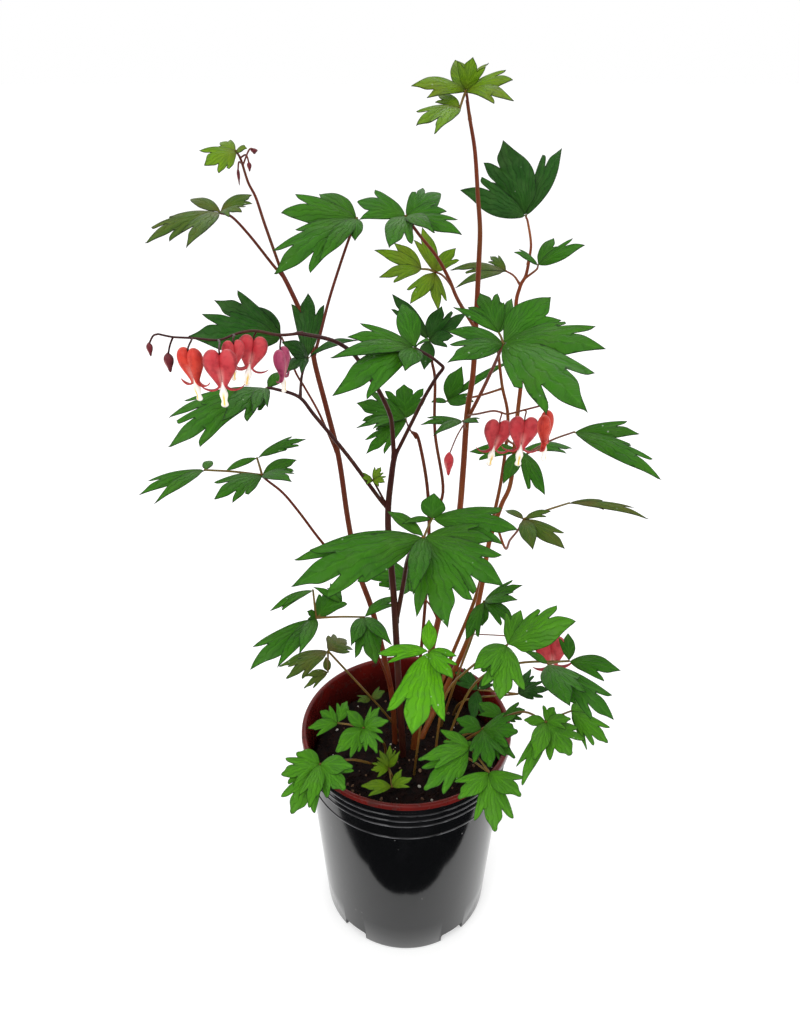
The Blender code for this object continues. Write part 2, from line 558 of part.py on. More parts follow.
# Each leaf: its clusters of leaflets. A cluster has the place of its hub and its leaflets as
# (across, down, depth of the tip, width in millimetres, cut of the left and right side, how far it
# faces the eye). A leaf with several clusters has a rib from its first hub to each of the others.
# A leaf that stands in the soil has a foot.
LEAVES = {
    "leaf_crest": [
        ((466, 91, 8), [
            (411, 86, -6, 16, "lp", 0.5), (455, 60, 24, 15, "pp", 0.7), (473, 57, 4, 15, "ll", 0.8),
            (513, 80, -4, 15, "lp", 0.5), (514, 101, -18, 13, "pl", 0.5), (489, 63, 26, 5, "ss", 0.4),
        ]),
        ((460, 108, -2), [(416, 126, -26, 15, "ll", 0.5), (434, 134, -38, 12, "pl", 0.5), (438, 95, 10, 10, "lp", 0.5)]),
    ],
    "leaf_upper_right": [
        ((526, 216, 50), [
            (503, 140, 62, 34, "tp", 0.9), (460, 190, 40, 22, "pl", 0.8), (562, 148, 76, 17, "lp", 0.85),
        ]),
    ],
    "leaf_right_shoulder": [
        ((538, 265, 34), [(585, 245, 22, 14, "lp", 0.6), (554, 238, 50, 12, "pl", 0.7), (514, 252, 30, 9, "pl", 0.4)]),
    ],
    "leaf_curled": [
        ((506, 271, 58), [(450, 270, 44, 11, "lp", 0.4), (455, 288, 32, 10, "pp", 0.5), (490, 256, 72, 9, "ll", 0.5)]),
    ],
    "leaf_upper_middle": [
        ((406, 216, -28), [
            (441, 194, -6, 20, "tp", 0.55), (447, 211, -24, 13, "lp", 0.5), (462, 235, -42, 15, "lp", 0.5),
            (357, 202, -16, 20, "ll", 0.55), (389, 248, -62, 20, "lp", 0.6), (435, 233, -60, 12, "pp", 0.6),
        ]),
    ],
    "leaf_upper_left": [
        ((357, 218, 20), [
            (281, 213, 12, 24, "pl", 0.6), (274, 274, -24, 26, "lt", 0.55), (319, 194, 40, 18, "pp", 0.6),
            (319, 261, -14, 14, "pp", 0.7), (355, 241, 2, 12, "pl", 0.6),
        ]),
    ],
    "leaf_young": [
        ((435, 272, 34), [
            (422, 227, 40, 14, "lp", 0.8), (456, 248, 36, 13, "pl", 0.8), (410, 304, 12, 14, "pl", 0.8),
            (438, 310, 14, 12, "lp", 0.8),
        ]),
        ((422, 269, 32), [(374, 250, 24, 12, "pp", 0.7), (394, 243, 36, 12, "pp", 0.7), (379, 277, 12, 12, "lp", 0.7)]),
    ],
    "leaf_far_left": [
        ((220, 212, -12), [
            (145, 243, -42, 15, "lt", 0.4), (186, 248, -58, 13, "pl", 0.5), (252, 195, 2, 12, "pl", 0.4),
            (190, 200, 4, 12, "pp", 0.45), (242, 212, -26, 12, "ll", 0.4),
        ]),
    ],
    "leaf_crown_left": [
        ((236, 151, 8), [(204, 165, -8, 17, "tl", 0.6), (220, 143, 20, 10, "ll", 0.5), (247, 148, 4, 8, "pp", 0.5)]),
    ],
    "leaf_behind_hearts": [
        ((282, 338, -2), [
            (188, 336, -16, 30, "pt", 0.75), (214, 300, 8, 24, "tl", 0.75), (244, 306, 14, 22, "lp", 0.75),
        ]),
    ],
    "leaf_fork": [
        ((308, 358, -26), [
            (308, 293, 0, 19, "ll", 0.85), (282, 342, -44, 15, "pp", 0.75), (358, 341, -52, 11, "pp", 0.45),
            (286, 373, -54, 13, "lp", 0.5),
        ]),
    ],
    "leaf_heart_height": [
        ((415, 348, -62), [
            (347, 337, -74, 18, "pl", 0.55), (332, 396, -104, 24, "lp", 0.6), (402, 303, -38, 19, "pp", 0.7),
            (405, 371, -92, 18, "pp", 0.7), (430, 341, -78, 9, "pp", 0.5), (330, 358, -94, 14, "pp", 0.5),
        ]),
    ],
    "leaf_dark_behind": [
        ((429, 340, 36), [
            (442, 306, 46, 17, "pl", 0.8), (466, 314, 52, 14, "lp", 0.7), (392, 294, 54, 14, "lp", 0.8),
            (454, 336, 26, 14, "pl", 0.7), (424, 370, 20, 15, "pp", 0.8),
        ]),
    ],
    "leaf_big_right": [
        ((503, 343, -36), [
            (606, 349, -78, 27, "tp", 0.6), (551, 297, -20, 30, "pt", 0.65), (588, 413, -112, 34, "lt", 0.65),
            (446, 331, -42, 15, "pp", 0.55), (447, 363, -66, 19, "pl", 0.6),
        ]),
        ((499, 333, -26), [(480, 293, -4, 20, "lt", 0.7), (512, 298, -6, 11, "lp", 0.7), (453, 307, -14, 9, "pp", 0.5)]),
    ],
    "leaf_back_right": [
        ((447, 401, 68), [
            (462, 366, 72, 20, "pp", 0.85), (513, 360, 84, 8, "pp", 0.6), (474, 402, 52, 14, "lp", 0.6),
            (431, 402, 58, 8, "pp", 0.5),
        ]),
    ],
    "leaf_back_middle": [
        ((406, 419, 48), [
            (356, 403, 34, 24, "tl", 0.75), (404, 384, 56, 30, "tt", 0.8), (366, 454, 16, 17, "lt", 0.7),
            (356, 428, 22, 10, "lp", 0.5),
        ]),
    ],
    "leaf_node": [
        ((463, 421, -4), [(420, 425, -16, 9, "pl", 0.45), (479, 423, -18, 8, "lp", 0.45), (433, 436, -34, 9, "pp", 0.45)]),
    ],
    "leaf_left_spread": [
        ((267, 388, -44), [
            (168, 447, -78, 22, "lt", 0.5), (222, 421, -90, 22, "tp", 0.5), (252, 413, -84, 13, "lp", 0.55),
            (169, 418, -50, 13, "ll", 0.45), (285, 372, -26, 11, "pp", 0.5),
        ]),
    ],
    "leaf_low_left": [
        ((262, 475, -34), [
            (297, 460, -30, 15, "pt", 0.5), (214, 499, -70, 19, "tl", 0.5), (292, 482, -62, 14, "tp", 0.5),
        ]),
        ((257, 458, -24), [(306, 439, -12, 10, "lt", 0.35), (225, 472, -26, 8, "pp", 0.4)]),
        ((205, 470, -46), [(139, 495, -70, 12, "pl", 0.4), (154, 504, -84, 10, "pp", 0.45), (211, 461, -30, 9, "pp", 0.4)]),
    ],
    "leaf_shoot_tip": [
        ((373, 480, -38), [(362, 478, -44, 8, "ll", 0.6), (381, 467, -36, 7, "ll", 0.7), (385, 482, -46, 8, "ll", 0.6)]),
    ],
    "leaf_far_right": [
        ((574, 432, 2), [(640, 434, -12, 16, "lp", 0.55), (662, 480, -46, 18, "tp", 0.5)]),
    ],
    "leaf_under_hearts": [
        ((520, 451, 48), [
            (503, 484, 22, 16, "pp", 0.8), (545, 495, 14, 17, "pl", 0.75), (469, 452, 44, 15, "lp", 0.6),
            (572, 449, 40, 12, "pl", 0.5),
        ]),
    ],
    "leaf_right_low": [
        ((524, 519, -14), [
            (533, 550, -46, 16, "pp", 0.75), (565, 549, -42, 16, "lp", 0.65), (505, 511, 6, 8, "pp", 0.35),
            (551, 511, -14, 8, "pl", 0.35),
        ]),
        ((569, 503, 4), [(649, 519, -14, 10, "lp", 0.3), (612, 507, 2, 9, "ll", 0.3)]),
    ],
    "leaf_centre": [
        ((424, 537, -70), [
            (291, 587, -104, 34, "tl", 0.5), (294, 560, -84, 20, "lp", 0.5), (413, 595, -124, 18, "pp", 0.7),
            (448, 628, -128, 34, "lt", 0.7), (504, 587, -112, 30, "lt", 0.6), (494, 540, -76, 20, "lp", 0.5),
            (387, 511, -48, 12, "pp", 0.5),
        ]),
        ((432, 519, -54), [(434, 493, -44, 22, "pp", 0.8), (518, 530, -62, 26, "lt", 0.5), (402, 524, -66, 7, "pp", 0.4)]),
    ],
    "leaf_low_middle": [
        ((414, 585, 12), [(362, 560, 16, 26, "tp", 0.6), (388, 590, -8, 16, "lt", 0.5), (412, 560, 30, 14, "pp", 0.6)]),
    ],
    "leaf_low_outer": [
        ((316, 618, -40), [
            (250, 670, -74, 22, "pl", 0.5), (277, 668, -88, 14, "pp", 0.55), (299, 655, -86, 14, "pp", 0.6),
            (307, 611, -44, 10, "lp", 0.5), (341, 591, -16, 20, "tl", 0.5),
        ]),
        ((342, 603, -26), [(313, 587, -24, 8, "pp", 0.4), (330, 583, -12, 8, "ll", 0.4)]),
        ((313, 590, -34), [(270, 611, -50, 9, "lp", 0.4), (281, 608, -58, 7, "pp", 0.4)]),
        ((364, 617, -34), [
            (351, 646, -66, 15, "pp", 0.75), (376, 664, -80, 24, "pl", 0.75), (392, 645, -68, 13, "pp", 0.7),
            (395, 597, -14, 12, "pl", 0.5),
        ]),
    ],
}

FOOT_LEAVES = {
    "leaf_bright": [
        ((429, 651, -88), [
            (429, 619, -74, 14, "pp", 0.75), (376, 654, -92, 13, "lp", 0.55), (453, 679, -112, 15, "lp", 0.7),
            (412, 735, -134, 34, "ll", 0.85), (457, 656, -94, 9, "pp", 0.5),
        ]),
        [(414, 775), (420, 730, -40), (424, 700, -58)],
    ],
    "leaf_right_front": [
        ((507, 645, -78), [
            (473, 670, -98, 20, "lp", 0.7), (500, 700, -116, 28, "lt", 0.8), (576, 621, -84, 30, "tp", 0.6),
            (521, 610, -56, 17, "lp", 0.6),
        ]),
        [(434, 768), (444, 700, -38), (470, 668, -56)],
    ],
    "leaf_right_reach": [
        ((569, 661, -50), [
            (621, 671, -74, 19, "pl", 0.6), (568, 633, -34, 13, "lp", 0.7),
        ]),
        ((548, 664, -62), [(614, 720, -104, 22, "lt", 0.6), (570, 706, -110, 28, "tp", 0.7), (524, 651, -64, 8, "pp", 0.5)]),
        [(440, 762), (470, 690, -30), (510, 665, -46)],
    ],
    "leaf_right_back": [
        ((484, 601, 6), [
            (523, 585, 0, 13, "lp", 0.5), (518, 600, -14, 13, "lp", 0.5), (516, 624, -22, 16, "pl", 0.6),
            (466, 640, -4, 15, "lp", 0.6), (482, 626, 8, 13, "pp", 0.6),
        ]),
        [(441, 727), (456, 680, 8), (471, 640, 4)],
    ],
    "leaf_rim_right": [
        ((489, 772, -84), [
            (458, 799, -104, 20, "pl", 0.75), (521, 796, -106, 22, "lp", 0.75), (495, 832, -120, 26, "ll", 0.8),
        ]),
        ((470, 748, -66), [(465, 742, -62, 12, "pp", 0.6), (440, 730, -62, 13, "lp", 0.6), (418, 760, -86, 17, "lp", 0.7),
                           (424, 790, -98, 24, "tl", 0.75)]),
        [(446, 775), (462, 757, -54)],
    ],
    "leaf_rim_far_right": [
        ((546, 722, -66), [
            (554, 707, -58, 14, "lp", 0.7), (571, 719, -72, 13, "pl", 0.6), (571, 755, -94, 30, "tt", 0.75),
            (534, 760, -98, 18, "pp", 0.8), (522, 785, -112, 15, "pl", 0.75), (524, 720, -60, 12, "pp", 0.5),
        ]),
        ((571, 711, -56), [(608, 743, -82, 18, "lt", 0.65), (587, 704, -48, 13, "ll", 0.5), (587, 750, -84, 7, "pp", 0.5)]),
        [(450, 752), (482, 730, -30), (520, 712, -46)],
    ],
    "leaf_pot_right": [
        ((482, 729, -50), [
            (456, 719, -48, 18, "lp", 0.65), (518, 732, -66, 26, "tt", 0.7), (490, 767, -86, 24, "lt", 0.75),
            (515, 758, -74, 17, "pl", 0.7),
        ]),
        ((503, 717, -34), [(525, 710, -40, 14, "lt", 0.6), (478, 703, -26, 16, "lp", 0.6)]),
        [(448, 745), (462, 736, -34)],
    ],
    "leaf_pot_back": [
        ((518, 694, 0), [(549, 689, -12, 14, "lt", 0.6), (537, 682, 6, 12, "lp", 0.6), (531, 669, 16, 10, "pl", 0.6)]),
        ((478, 690, 10), [(455, 672, 16, 16, "lt", 0.6), (472, 720, -10, 16, "lp", 0.7), (494, 676, 16, 12, "ll", 0.6)]),
        [(453, 716), (466, 700, 14)],
    ],
    "leaf_rim_left": [
        ((320, 764, -78), [
            (296, 753, -76, 19, "lp", 0.65), (281, 775, -92, 20, "ll", 0.7), (291, 814, -112, 26, "lt", 0.75),
            (309, 808, -114, 17, "pl", 0.75), (353, 767, -88, 20, "pp", 0.65), (345, 790, -104, 26, "lt", 0.75),
        ]),
        [(386, 772), (356, 760, -58)],
    ],
    "leaf_pot_left": [
        ((364, 728, -44), [
            (346, 710, -36, 14, "pp", 0.7), (389, 721, -54, 15, "pl", 0.65), (380, 707, -36, 11, "lp", 0.6),
            (377, 753, -74, 15, "lt", 0.75), (336, 752, -66, 22, "tp", 0.7),
        ]),
        ((338, 723, -36), [(308, 728, -46, 14, "lp", 0.6), (320, 711, -30, 15, "ll", 0.65), (347, 701, -18, 13, "lp", 0.6)]),
        [(386, 757), (384, 744, -26), (374, 736, -36)],
    ],
    "leaf_pot_rear": [
        ((328, 651, -6), [(286, 679, -38, 15, "lt", 0.5), (279, 667, -26, 12, "lp", 0.5), (346, 640, 18, 22, "tt", 0.6)]),
        ((328, 672, 2), [(326, 657, 12, 9, "pp", 0.6), (305, 676, -8, 9, "pp", 0.6), (304, 688, -16, 9, "lp", 0.6)]),
        ((371, 698, 6), [(357, 702, -4, 10, "pl", 0.6), (385, 691, 8, 11, "lp", 0.6)]),
        [(398, 734), (384, 712, 10)],
    ],
    "leaf_seedling": [
        ((389, 768, -44), [
            (390, 745, -34, 9, "pl", 0.8), (400, 751, -44, 8, "pp", 0.8), (371, 770, -52, 12, "lt", 0.6),
            (379, 750, -38, 9, "lp", 0.8),
        ]),
        ((392, 787, -58), [(361, 786, -66, 14, "lp", 0.7), (412, 778, -58, 11, "pl", 0.6), (402, 769, -46, 8, "pp", 0.7)]),
        [(396, 782), (392, 776, -48)],
    ],
}

# Hearts: the top of each heart, its size, how it leans across the view, how far it is turned
# about its own stalk, and where its stalk leaves the spray
HEARTS = {
    "heart_left_1": ((188, 350), -98, 17.5, 6, -32, True),
    "heart_left_2": ((219, 352), -113, 18.2, 0, 5, True),
    "heart_left_3": ((254, 338), -89, 17, -14, 12, True),
    "heart_left_4": ((233, 342), -100, 13, -4, 30, False),
    "heart_left_5": ((281, 350), -86, 15.0, 0, 75, False),
    "heart_right_1": ((500, 422), -33, 19.5, -10, 12, True),
    "heart_right_2": ((525, 419), -47, 20, -4, 0, True),
    "heart_right_3": ((546, 415), -66, 18.5, 2, 68, False),
    "heart_low": ((550, 640), -30, 25, 10, 0, False),
}
POUCH_SIDES = 6
# Rings of half a heart, in parts of its size: how far down, how far out, half width and half depth
POUCH_RINGS = (
    (-0.03, 0.190, 0.104, 0.110),
    (0.12, 0.198, 0.213, 0.190),
    (0.42, 0.183, 0.207, 0.190),
    (0.84, 0.080, 0.085, 0.085),
)
# The spur's route, in parts of the heart's size: how far down and how far out
SPUR_ROUTE = ((0.74, 0.08), (0.97, 0.28), (0.95, 0.56))
SPUR_RADII = (0.085, 0.040)
SPUR_SIDES = 4
INNER_SIDES = 5
# Rings of the inner petals, in parts of the heart's size: how far down and half width
INNER_RINGS = ((1.00, 0.06), (1.14, 0.11), (1.34, 0.075), (1.46, 0.10))
INNER_FLATNESS = 0.8


def heart_frame(lean, turn):
    """The heart's own across, front and down directions."""
    lean = math.radians(lean)
    turn = math.radians(turn)
    down = Vector((math.sin(lean), 0, -math.cos(lean)))
    across = Vector((math.cos(turn) * math.cos(lean), math.sin(turn), math.sin(lean) * math.cos(turn)))
    across = (across - down * across.dot(down)).normalized()
    return across, down.cross(across), down


def pouch(top, across, front, down, size, side):
    """Half of the heart: a puffed pouch narrowing down."""
    points = []
    for level, offset, wide, deep in POUCH_RINGS:
        centre = top + down * level * size + across * side * offset * size
        for i in range(POUCH_SIDES):
            angle = 2 * math.pi * i / POUCH_SIDES
            points.append(centre + across * math.cos(angle) * wide * size + front * math.sin(angle) * deep * size)
    return points, ring_faces(len(POUCH_RINGS), POUCH_SIDES)


def ring_faces(rings, count):
    """Faces that join rings of points into a closed skin."""
    faces = [tuple(reversed(range(count))), tuple(range((rings - 1) * count, rings * count))]
    for i in range(rings - 1):
        for j in range(count):
            a = i * count + j
            b = i * count + (j + 1) % count
            faces.append((a, b, b + count, a + count))
    return faces


def spur(top, across, down, size, side):
    """The tip of an outer petal, curling out and up."""
    route = [top + down * size * level + across * side * size * out for level, out in SPUR_ROUTE]
    first, last = (size * radius for radius in SPUR_RADII)
    return tube(route, first, last, SPUR_SIDES)


def make_hearts():
    """Each bloom: a pair of red outer petals and, hanging from them, the white inner petals."""
    red = finish("outer_petal", (0.62, 0.06, 0.06), 0.45)
    white = finish("inner_petal", (0.9, 0.86, 0.84), 0.5)
    for name, (spot, depth, size, lean, turn, has_inner) in HEARTS.items():
        size *= MM
        across, front, down = heart_frame(lean, turn)
        top = place(*spot, depth)
        shapes = []
        for side in (-1, 1):
            shapes.append(pouch(top, across, front, down, size, side))
            shapes.append(spur(top, across, down, size, side))
        fuse(name, shapes, red)
        if not has_inner:
            continue
        points = []
        for level, wide in INNER_RINGS:
            centre = top + down * size * level
            for i in range(INNER_SIDES):
                angle = 2 * math.pi * i / INNER_SIDES
                spread = across * math.cos(angle) + front * math.sin(angle) * INNER_FLATNESS
                points.append(centre + spread * wide * size)
        fuse(name + "_inner", [(points, ring_faces(len(INNER_RINGS), INNER_SIDES))], white)


# Stalks of the hearts and the buds: on each shoot, from the spray down to each heart or bud
STALKS = {
    "shoot_front": [
        ((192, 338, -93), (188, 348, -98)),
        ((218, 340, -92), (219, 349, -113)),
        ((257, 331, -90), (254, 336, -89)),
        ((233, 335, -91), (233, 340, -100)),
        ((279, 335, -88), (280, 347, -86)),
    ],
    "shoot_tall": [
        ((500, 412, -31), (500, 420, -33)),
        ((524, 410, -46), (525, 417, -47)),
        ((543, 405, -54), (546, 413, -66)),
    ],
}
BUDS = {
    "shoot_front": [
        ((158, 334, -95), (153, 336, -95), (149, 344, -95), 3.2, 7.0),
        ((173, 337, -94), (170, 345, -93), (168, 355, -92), 5.0, 10.0),
    ],
    "shoot_left": [
        ((243, 165, 12), (239, 162, 6), (238, 170, 4), 1.8, 9.0),
        ((240, 158, 10), (246, 155, 6), (249, 163, 6), 2.6, 5.0),
        ((243, 165, 12), (249, 150, 16), (254, 149, 18), 4.0, 3.0),
    ],
    "shoot_tall": [((466, 421, 16), (457, 436, 6), (449, 455, 2), 6.5, 17.0)],
}


def thin_stalk(route):
    """The thin stalk of a heart or a bud."""
    first, last = (radius * MM for radius in THIN_STALK)
    return tube(route, first, last, STALK_SIDES)


def bud(start, middle, spot, width, length):
    """A closed bud hanging at the end of its stalk."""
    hang = place(*spot)
    stalk = thin_stalk([place(*start), place(*middle), hang])
    body = ball(hang - Vector((0, 0, length * BUD_HANG * MM)), 1 * MM, (width / 2, width / 2, length / 2))
    return [stalk, body]


def make_shoots():
    """The stems, each fused with its branches, flower stalks and buds. Gives the feet back."""
    brown = finish("stem_skin", (0.22, 0.055, 0.03), 0.5)
    feet = []
    for name, shoot in SHOOTS.items():
        shapes = []
        foot = on_soil(*shoot["foot"])
        for number, (end, start_width, end_width, spots) in enumerate(shoot["branches"]):
            route = [place(*spot) for spot in spots]
            if number == 0:
                below = foot - Vector((0, 0, FOOT_DEPTH))
                route = [below, foot] + route
                feet.append((foot, below, start_width / 2 * MM + HOLE_GAP))
            if end == "leaf":
                back = (route[-2] - route[-1]).normalized()
                route[-1] = route[-1] + back * (HUB_RADIUS + JOINT_GAP)
            sides = STEM_SIDES if number == 0 else STALK_SIDES
            route = smooth_route(route, 1)
            shapes.append(tube(route, start_width / 2 * MM, end_width / 2 * MM, sides))
        for start, stop in STALKS.get(name, []):
            high = place(*start)
            low = place(*stop)
            low = low + (high - low).normalized() * JOINT_GAP * 2
            shapes.append(thin_stalk([high, low]))
        for each in BUDS.get(name, []):
            shapes += bud(*each)
        fuse(name, shapes, brown)
    return feet


# How far, in millimetres, a leaflet's tip may swing back or forward to clear its neighbours
SHIFTS = (0, 5, -5, 10, -10, 15, -15, 20, -20, 26, -26, 34, -34, 44, -44, 56, -56)
OWN_CLEAR = 0.008


def solid_tree(points, faces):
    return BVHTree.FromPolygons([tuple(p) for p in points], faces)


def tree_of(found):
    mesh = found.data
    return solid_tree([v.co for v in mesh.vertices], [tuple(p.vertices) for p in mesh.polygons])


def settle(hub, spot, standing, beside):
    """The leaflet's shape at the first depth where it clears what stands already and what grows beside it."""
    across, down, depth, width, sides, face = spot
    for shift in SHIFTS:
        tip = place(across, down, depth + shift)
        reach = (tip - hub).normalized()
        shape = blade(hub + reach * HUB_RADIUS * 0.3, tip, width * MM, sides, face, LEAF_ARCH)
        outer_part = blade(hub + reach * OWN_CLEAR, tip, width * MM, sides, face, LEAF_ARCH)
        tree = solid_tree(*shape)
        outer_tree = solid_tree(*outer_part)
        if any(tree.overlap(other) for other in standing):
            continue
        if any(outer_tree.overlap(other) for other in beside):
            continue
        beside.append(outer_tree)
        return shape
    print("no clear place for", spot)
    return None


def make_leaf(name, clusters, foot, standing, green):
    """One leaf: its clusters of leaflets, the ribs between them and, at the foot, its own stalk."""
    shapes = []
    hubs = [place(*hub) for hub, _ in clusters]
    beside = []
    stand = None
    if foot:
        start = on_soil(*foot[0])
        route = [place(*spot) for spot in foot[1:]] + [hubs[0]]
        below = start - Vector((0, 0, FOOT_DEPTH))
        shapes.append(tube(smooth_route([below, start] + route, 1), 1.1 * MM, 0.8 * MM, STALK_SIDES))
        stand = (start, below, 1.1 * MM + HOLE_GAP)
    for hub in hubs[1:]:
        shapes.append(tube([hubs[0], hub], 0.8 * MM, 0.7 * MM, STALK_SIDES))
    for hub, (_, leaflets) in zip(hubs, clusters):
        shapes.append(knot(hub, HUB_RADIUS))
        found = [settle(hub, spot, standing, beside) for spot in leaflets]
        shapes += [shape for shape in found if shape]
    fuse(name, shapes, green)
    return stand


def main():
    clear_scene()
    pot = make_pot()
    feet = make_shoots()
    make_hearts()
    standing = [tree_of(found) for found in bpy.context.scene.objects]
    green = finish("leaf_green", (0.09, 0.24, 0.06), 0.5)
    for name, clusters in LEAVES.items():
        make_leaf(name, clusters, None, standing, green)
        standing.append(tree_of(bpy.data.objects[name]))
    for name, parts in FOOT_LEAVES.items():
        feet.append(make_leaf(name, parts[:-1], parts[-1], standing, green))
        standing.append(tree_of(bpy.data.objects[name]))
    make_soil(feet)


main()
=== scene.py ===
# Bleeding heart plant in its black nursery pot: the fine leaves, stems, hearts, soil and pot
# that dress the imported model
import json
import math
import random

import bmesh
import bpy
import numpy as np
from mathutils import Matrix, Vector
from mathutils.geometry import delaunay_2d_cdt

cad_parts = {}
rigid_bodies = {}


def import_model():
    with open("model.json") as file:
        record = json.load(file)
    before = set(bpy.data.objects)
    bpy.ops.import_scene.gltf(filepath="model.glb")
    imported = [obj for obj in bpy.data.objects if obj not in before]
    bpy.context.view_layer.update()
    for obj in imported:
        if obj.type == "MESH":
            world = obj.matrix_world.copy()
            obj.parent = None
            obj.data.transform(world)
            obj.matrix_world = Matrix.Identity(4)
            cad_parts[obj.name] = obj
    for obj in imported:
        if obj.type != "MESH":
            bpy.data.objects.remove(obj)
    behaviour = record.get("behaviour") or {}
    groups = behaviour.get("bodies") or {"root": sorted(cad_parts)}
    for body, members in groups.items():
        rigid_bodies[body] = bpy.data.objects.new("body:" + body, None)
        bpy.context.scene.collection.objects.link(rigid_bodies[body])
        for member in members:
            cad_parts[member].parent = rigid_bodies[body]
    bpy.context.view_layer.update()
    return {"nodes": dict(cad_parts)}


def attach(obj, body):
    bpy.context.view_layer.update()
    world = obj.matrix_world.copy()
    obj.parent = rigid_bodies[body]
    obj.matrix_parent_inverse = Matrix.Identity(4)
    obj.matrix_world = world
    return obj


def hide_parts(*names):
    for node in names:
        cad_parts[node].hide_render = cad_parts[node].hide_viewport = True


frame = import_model()
mm = 0.001

# The photograph's frame in pixels, and the eye in metres from the middle of the pot's base
view = {
    "middle": (400, 512),
    "height": 1024,
    "focal": 800,
    "pitch": math.radians(29.3),
    "eye": Vector((-0.005, -0.4695, 0.640)),
    "filmSide": 36.0,
}


# the direction from the eye through a pixel
def rayThrough(across, down):
    forward = Vector((0.0, math.cos(view["pitch"]), -math.sin(view["pitch"])))
    upward = Vector((0.0, math.sin(view["pitch"]), math.cos(view["pitch"])))
    right = Vector((1.0, 0.0, 0.0))
    middle = view["middle"]
    return forward * view["focal"] + right * (across - middle[0]) + upward * (middle[1] - down)


# the point seen at (across, down) that lies depth millimetres behind the pot's axis
def place(across, down, depth):
    ray = rayThrough(across, down)
    return view["eye"] + ray * ((depth * mm - view["eye"].y) / ray.y)


# Shader maths: a wire is a socket that can be added to, multiplied and so on
class Wire:
    def __init__(self, paint, socket):
        self.paint = paint
        self.socket = socket

    def sum(self, operation, *others):
        values = dict(enumerate((self, *others)))
        return self.paint.node("Math", {"operation": operation}, values)

    # another output of the same node
    def other(self, output):
        return Wire(self.paint, self.socket.node.outputs[output])

    def __add__(self, other):
        return self.sum("ADD", other)

    def __sub__(self, other):
        return self.sum("SUBTRACT", other)

    def __mul__(self, other):
        return self.sum("MULTIPLY", other)

    def __truediv__(self, other):
        return self.sum("DIVIDE", other)

    def __rsub__(self, other):
        return self.paint.node("Math", {"operation": "SUBTRACT"}, {0: other, 1: self})

    __radd__ = __add__
    __rmul__ = __mul__

    # 0 below low, 1 above high, straight between
    def ramp(self, low, high):
        settings = {"clamp": True}
        return self.paint.node("MapRange", settings, {"Value": self, "From Min": low, "From Max": high})


class Paint:
    def __init__(self, name, roughness, coat=0.0, sheen=0.0, shine=0.5):
        self.material = bpy.data.materials.new(name)
        self.material.use_nodes = True
        self.tree = self.material.node_tree
        self.shader = self.tree.nodes["Principled BSDF"]
        self.shader.inputs["Roughness"].default_value = roughness
        self.shader.inputs["Coat Weight"].default_value = coat
        self.shader.inputs["Coat Roughness"].default_value = 0.08
        self.shader.inputs["Sheen Weight"].default_value = sheen
        self.shader.inputs["Specular IOR Level"].default_value = shine

    # any node: its type, its settings first, then the values or wires of its sockets; gives its output
    def node(self, kind, settings=None, sockets=None, output=0):
        made = self.tree.nodes.new("ShaderNode" + kind)
        for key, value in (settings or {}).items():
            setattr(made, key, value)
        for key, value in (sockets or {}).items():
            self.plug(made.inputs[key], value)
        return Wire(self, made.outputs[output])

    def plug(self, socket, value):
        if isinstance(value, Wire):
            self.tree.links.new(value.socket, socket)
        else:
            socket.default_value = value

    def mix(self, first, second, share):
        first, second = (c if isinstance(c, Wire) else (*c, 1.0) for c in (first, second))
        return self.node("Mix", {"data_type": "RGBA"}, {0: share, 6: first, 7: second}, output=2)

    def noise(self, scale, detail=3.0, where=None, stretch=None):
        where = where or self.node("TexCoord", output=3)
        if stretch:
            where = self.node("Mapping", None, {"Vector": where, "Scale": stretch})
        return self.node("TexNoise", None, {"Vector": where, "Scale": scale, "Detail": detail})

    def attribute(self, name):
        return self.node("Attribute", {"attribute_name": name}, output=2)

    def feed(self, name, value):
        self.plug(self.shader.inputs[name], value)

    def bump(self, height, distance, strength=1.0):
        sockets = {"Height": height, "Distance": distance, "Strength": strength}
        self.feed("Normal", self.node("Bump", None, sockets))


def meshPiece(name, points, faces, materials, marks=None, plan=None, edges=()):
    mesh = bpy.data.meshes.new(name)
    mesh.from_pydata([tuple(p) for p in points], edges, faces)
    for key, values in (marks or {}).items():
        mesh.attributes.new(key, "FLOAT", "POINT").data.foreach_set("value", np.array(values, np.float32))
    if plan:
        corners = np.zeros(len(mesh.loops), np.int32)
        mesh.loops.foreach_get("vertex_index", corners)
        mesh.uv_layers.new(name="plan").data.foreach_set("uv", np.array(plan, np.float32)[corners].ravel())
    for material in materials:
        mesh.materials.append(material)
    made = bpy.data.objects.new(name, mesh)
    bpy.context.scene.collection.objects.link(made)
    return made


def smoothFaces(piece, sharpOver):
    piece.data.shade_smooth()
    piece.data.set_sharp_from_angle(angle=math.radians(sharpOver))


# turns faces outwards on a finished closed skin
def faceOut(piece):
    shape = bmesh.new()
    shape.from_mesh(piece.data)
    bmesh.ops.recalc_face_normals(shape, faces=shape.faces)
    shape.to_mesh(piece.data)
    shape.free()


# leaves a piece with the plain mesh that its modifiers make
def settle(piece):
    bpy.context.view_layer.update()
    graph = bpy.context.evaluated_depsgraph_get()
    made = bpy.data.meshes.new_from_object(piece.evaluated_get(graph))
    piece.modifiers.clear()
    old = piece.data
    piece.data = made
    bpy.data.meshes.remove(old)
    made.name = piece.name
    return piece


# runs a Geometry Nodes tree on a host; the values go in by the sockets' identifiers
def runNodes(host, tree, values):
    added = host.modifiers.new(tree.name, "NODES")
    added.node_group = tree
    for key, value in values.items():
        added[key] = value
    return settle(host)


def groupSocket(tree, name, kind, direction="INPUT"):
    return tree.interface.new_socket(name, in_out=direction, socket_type="NodeSocket" + kind).identifier


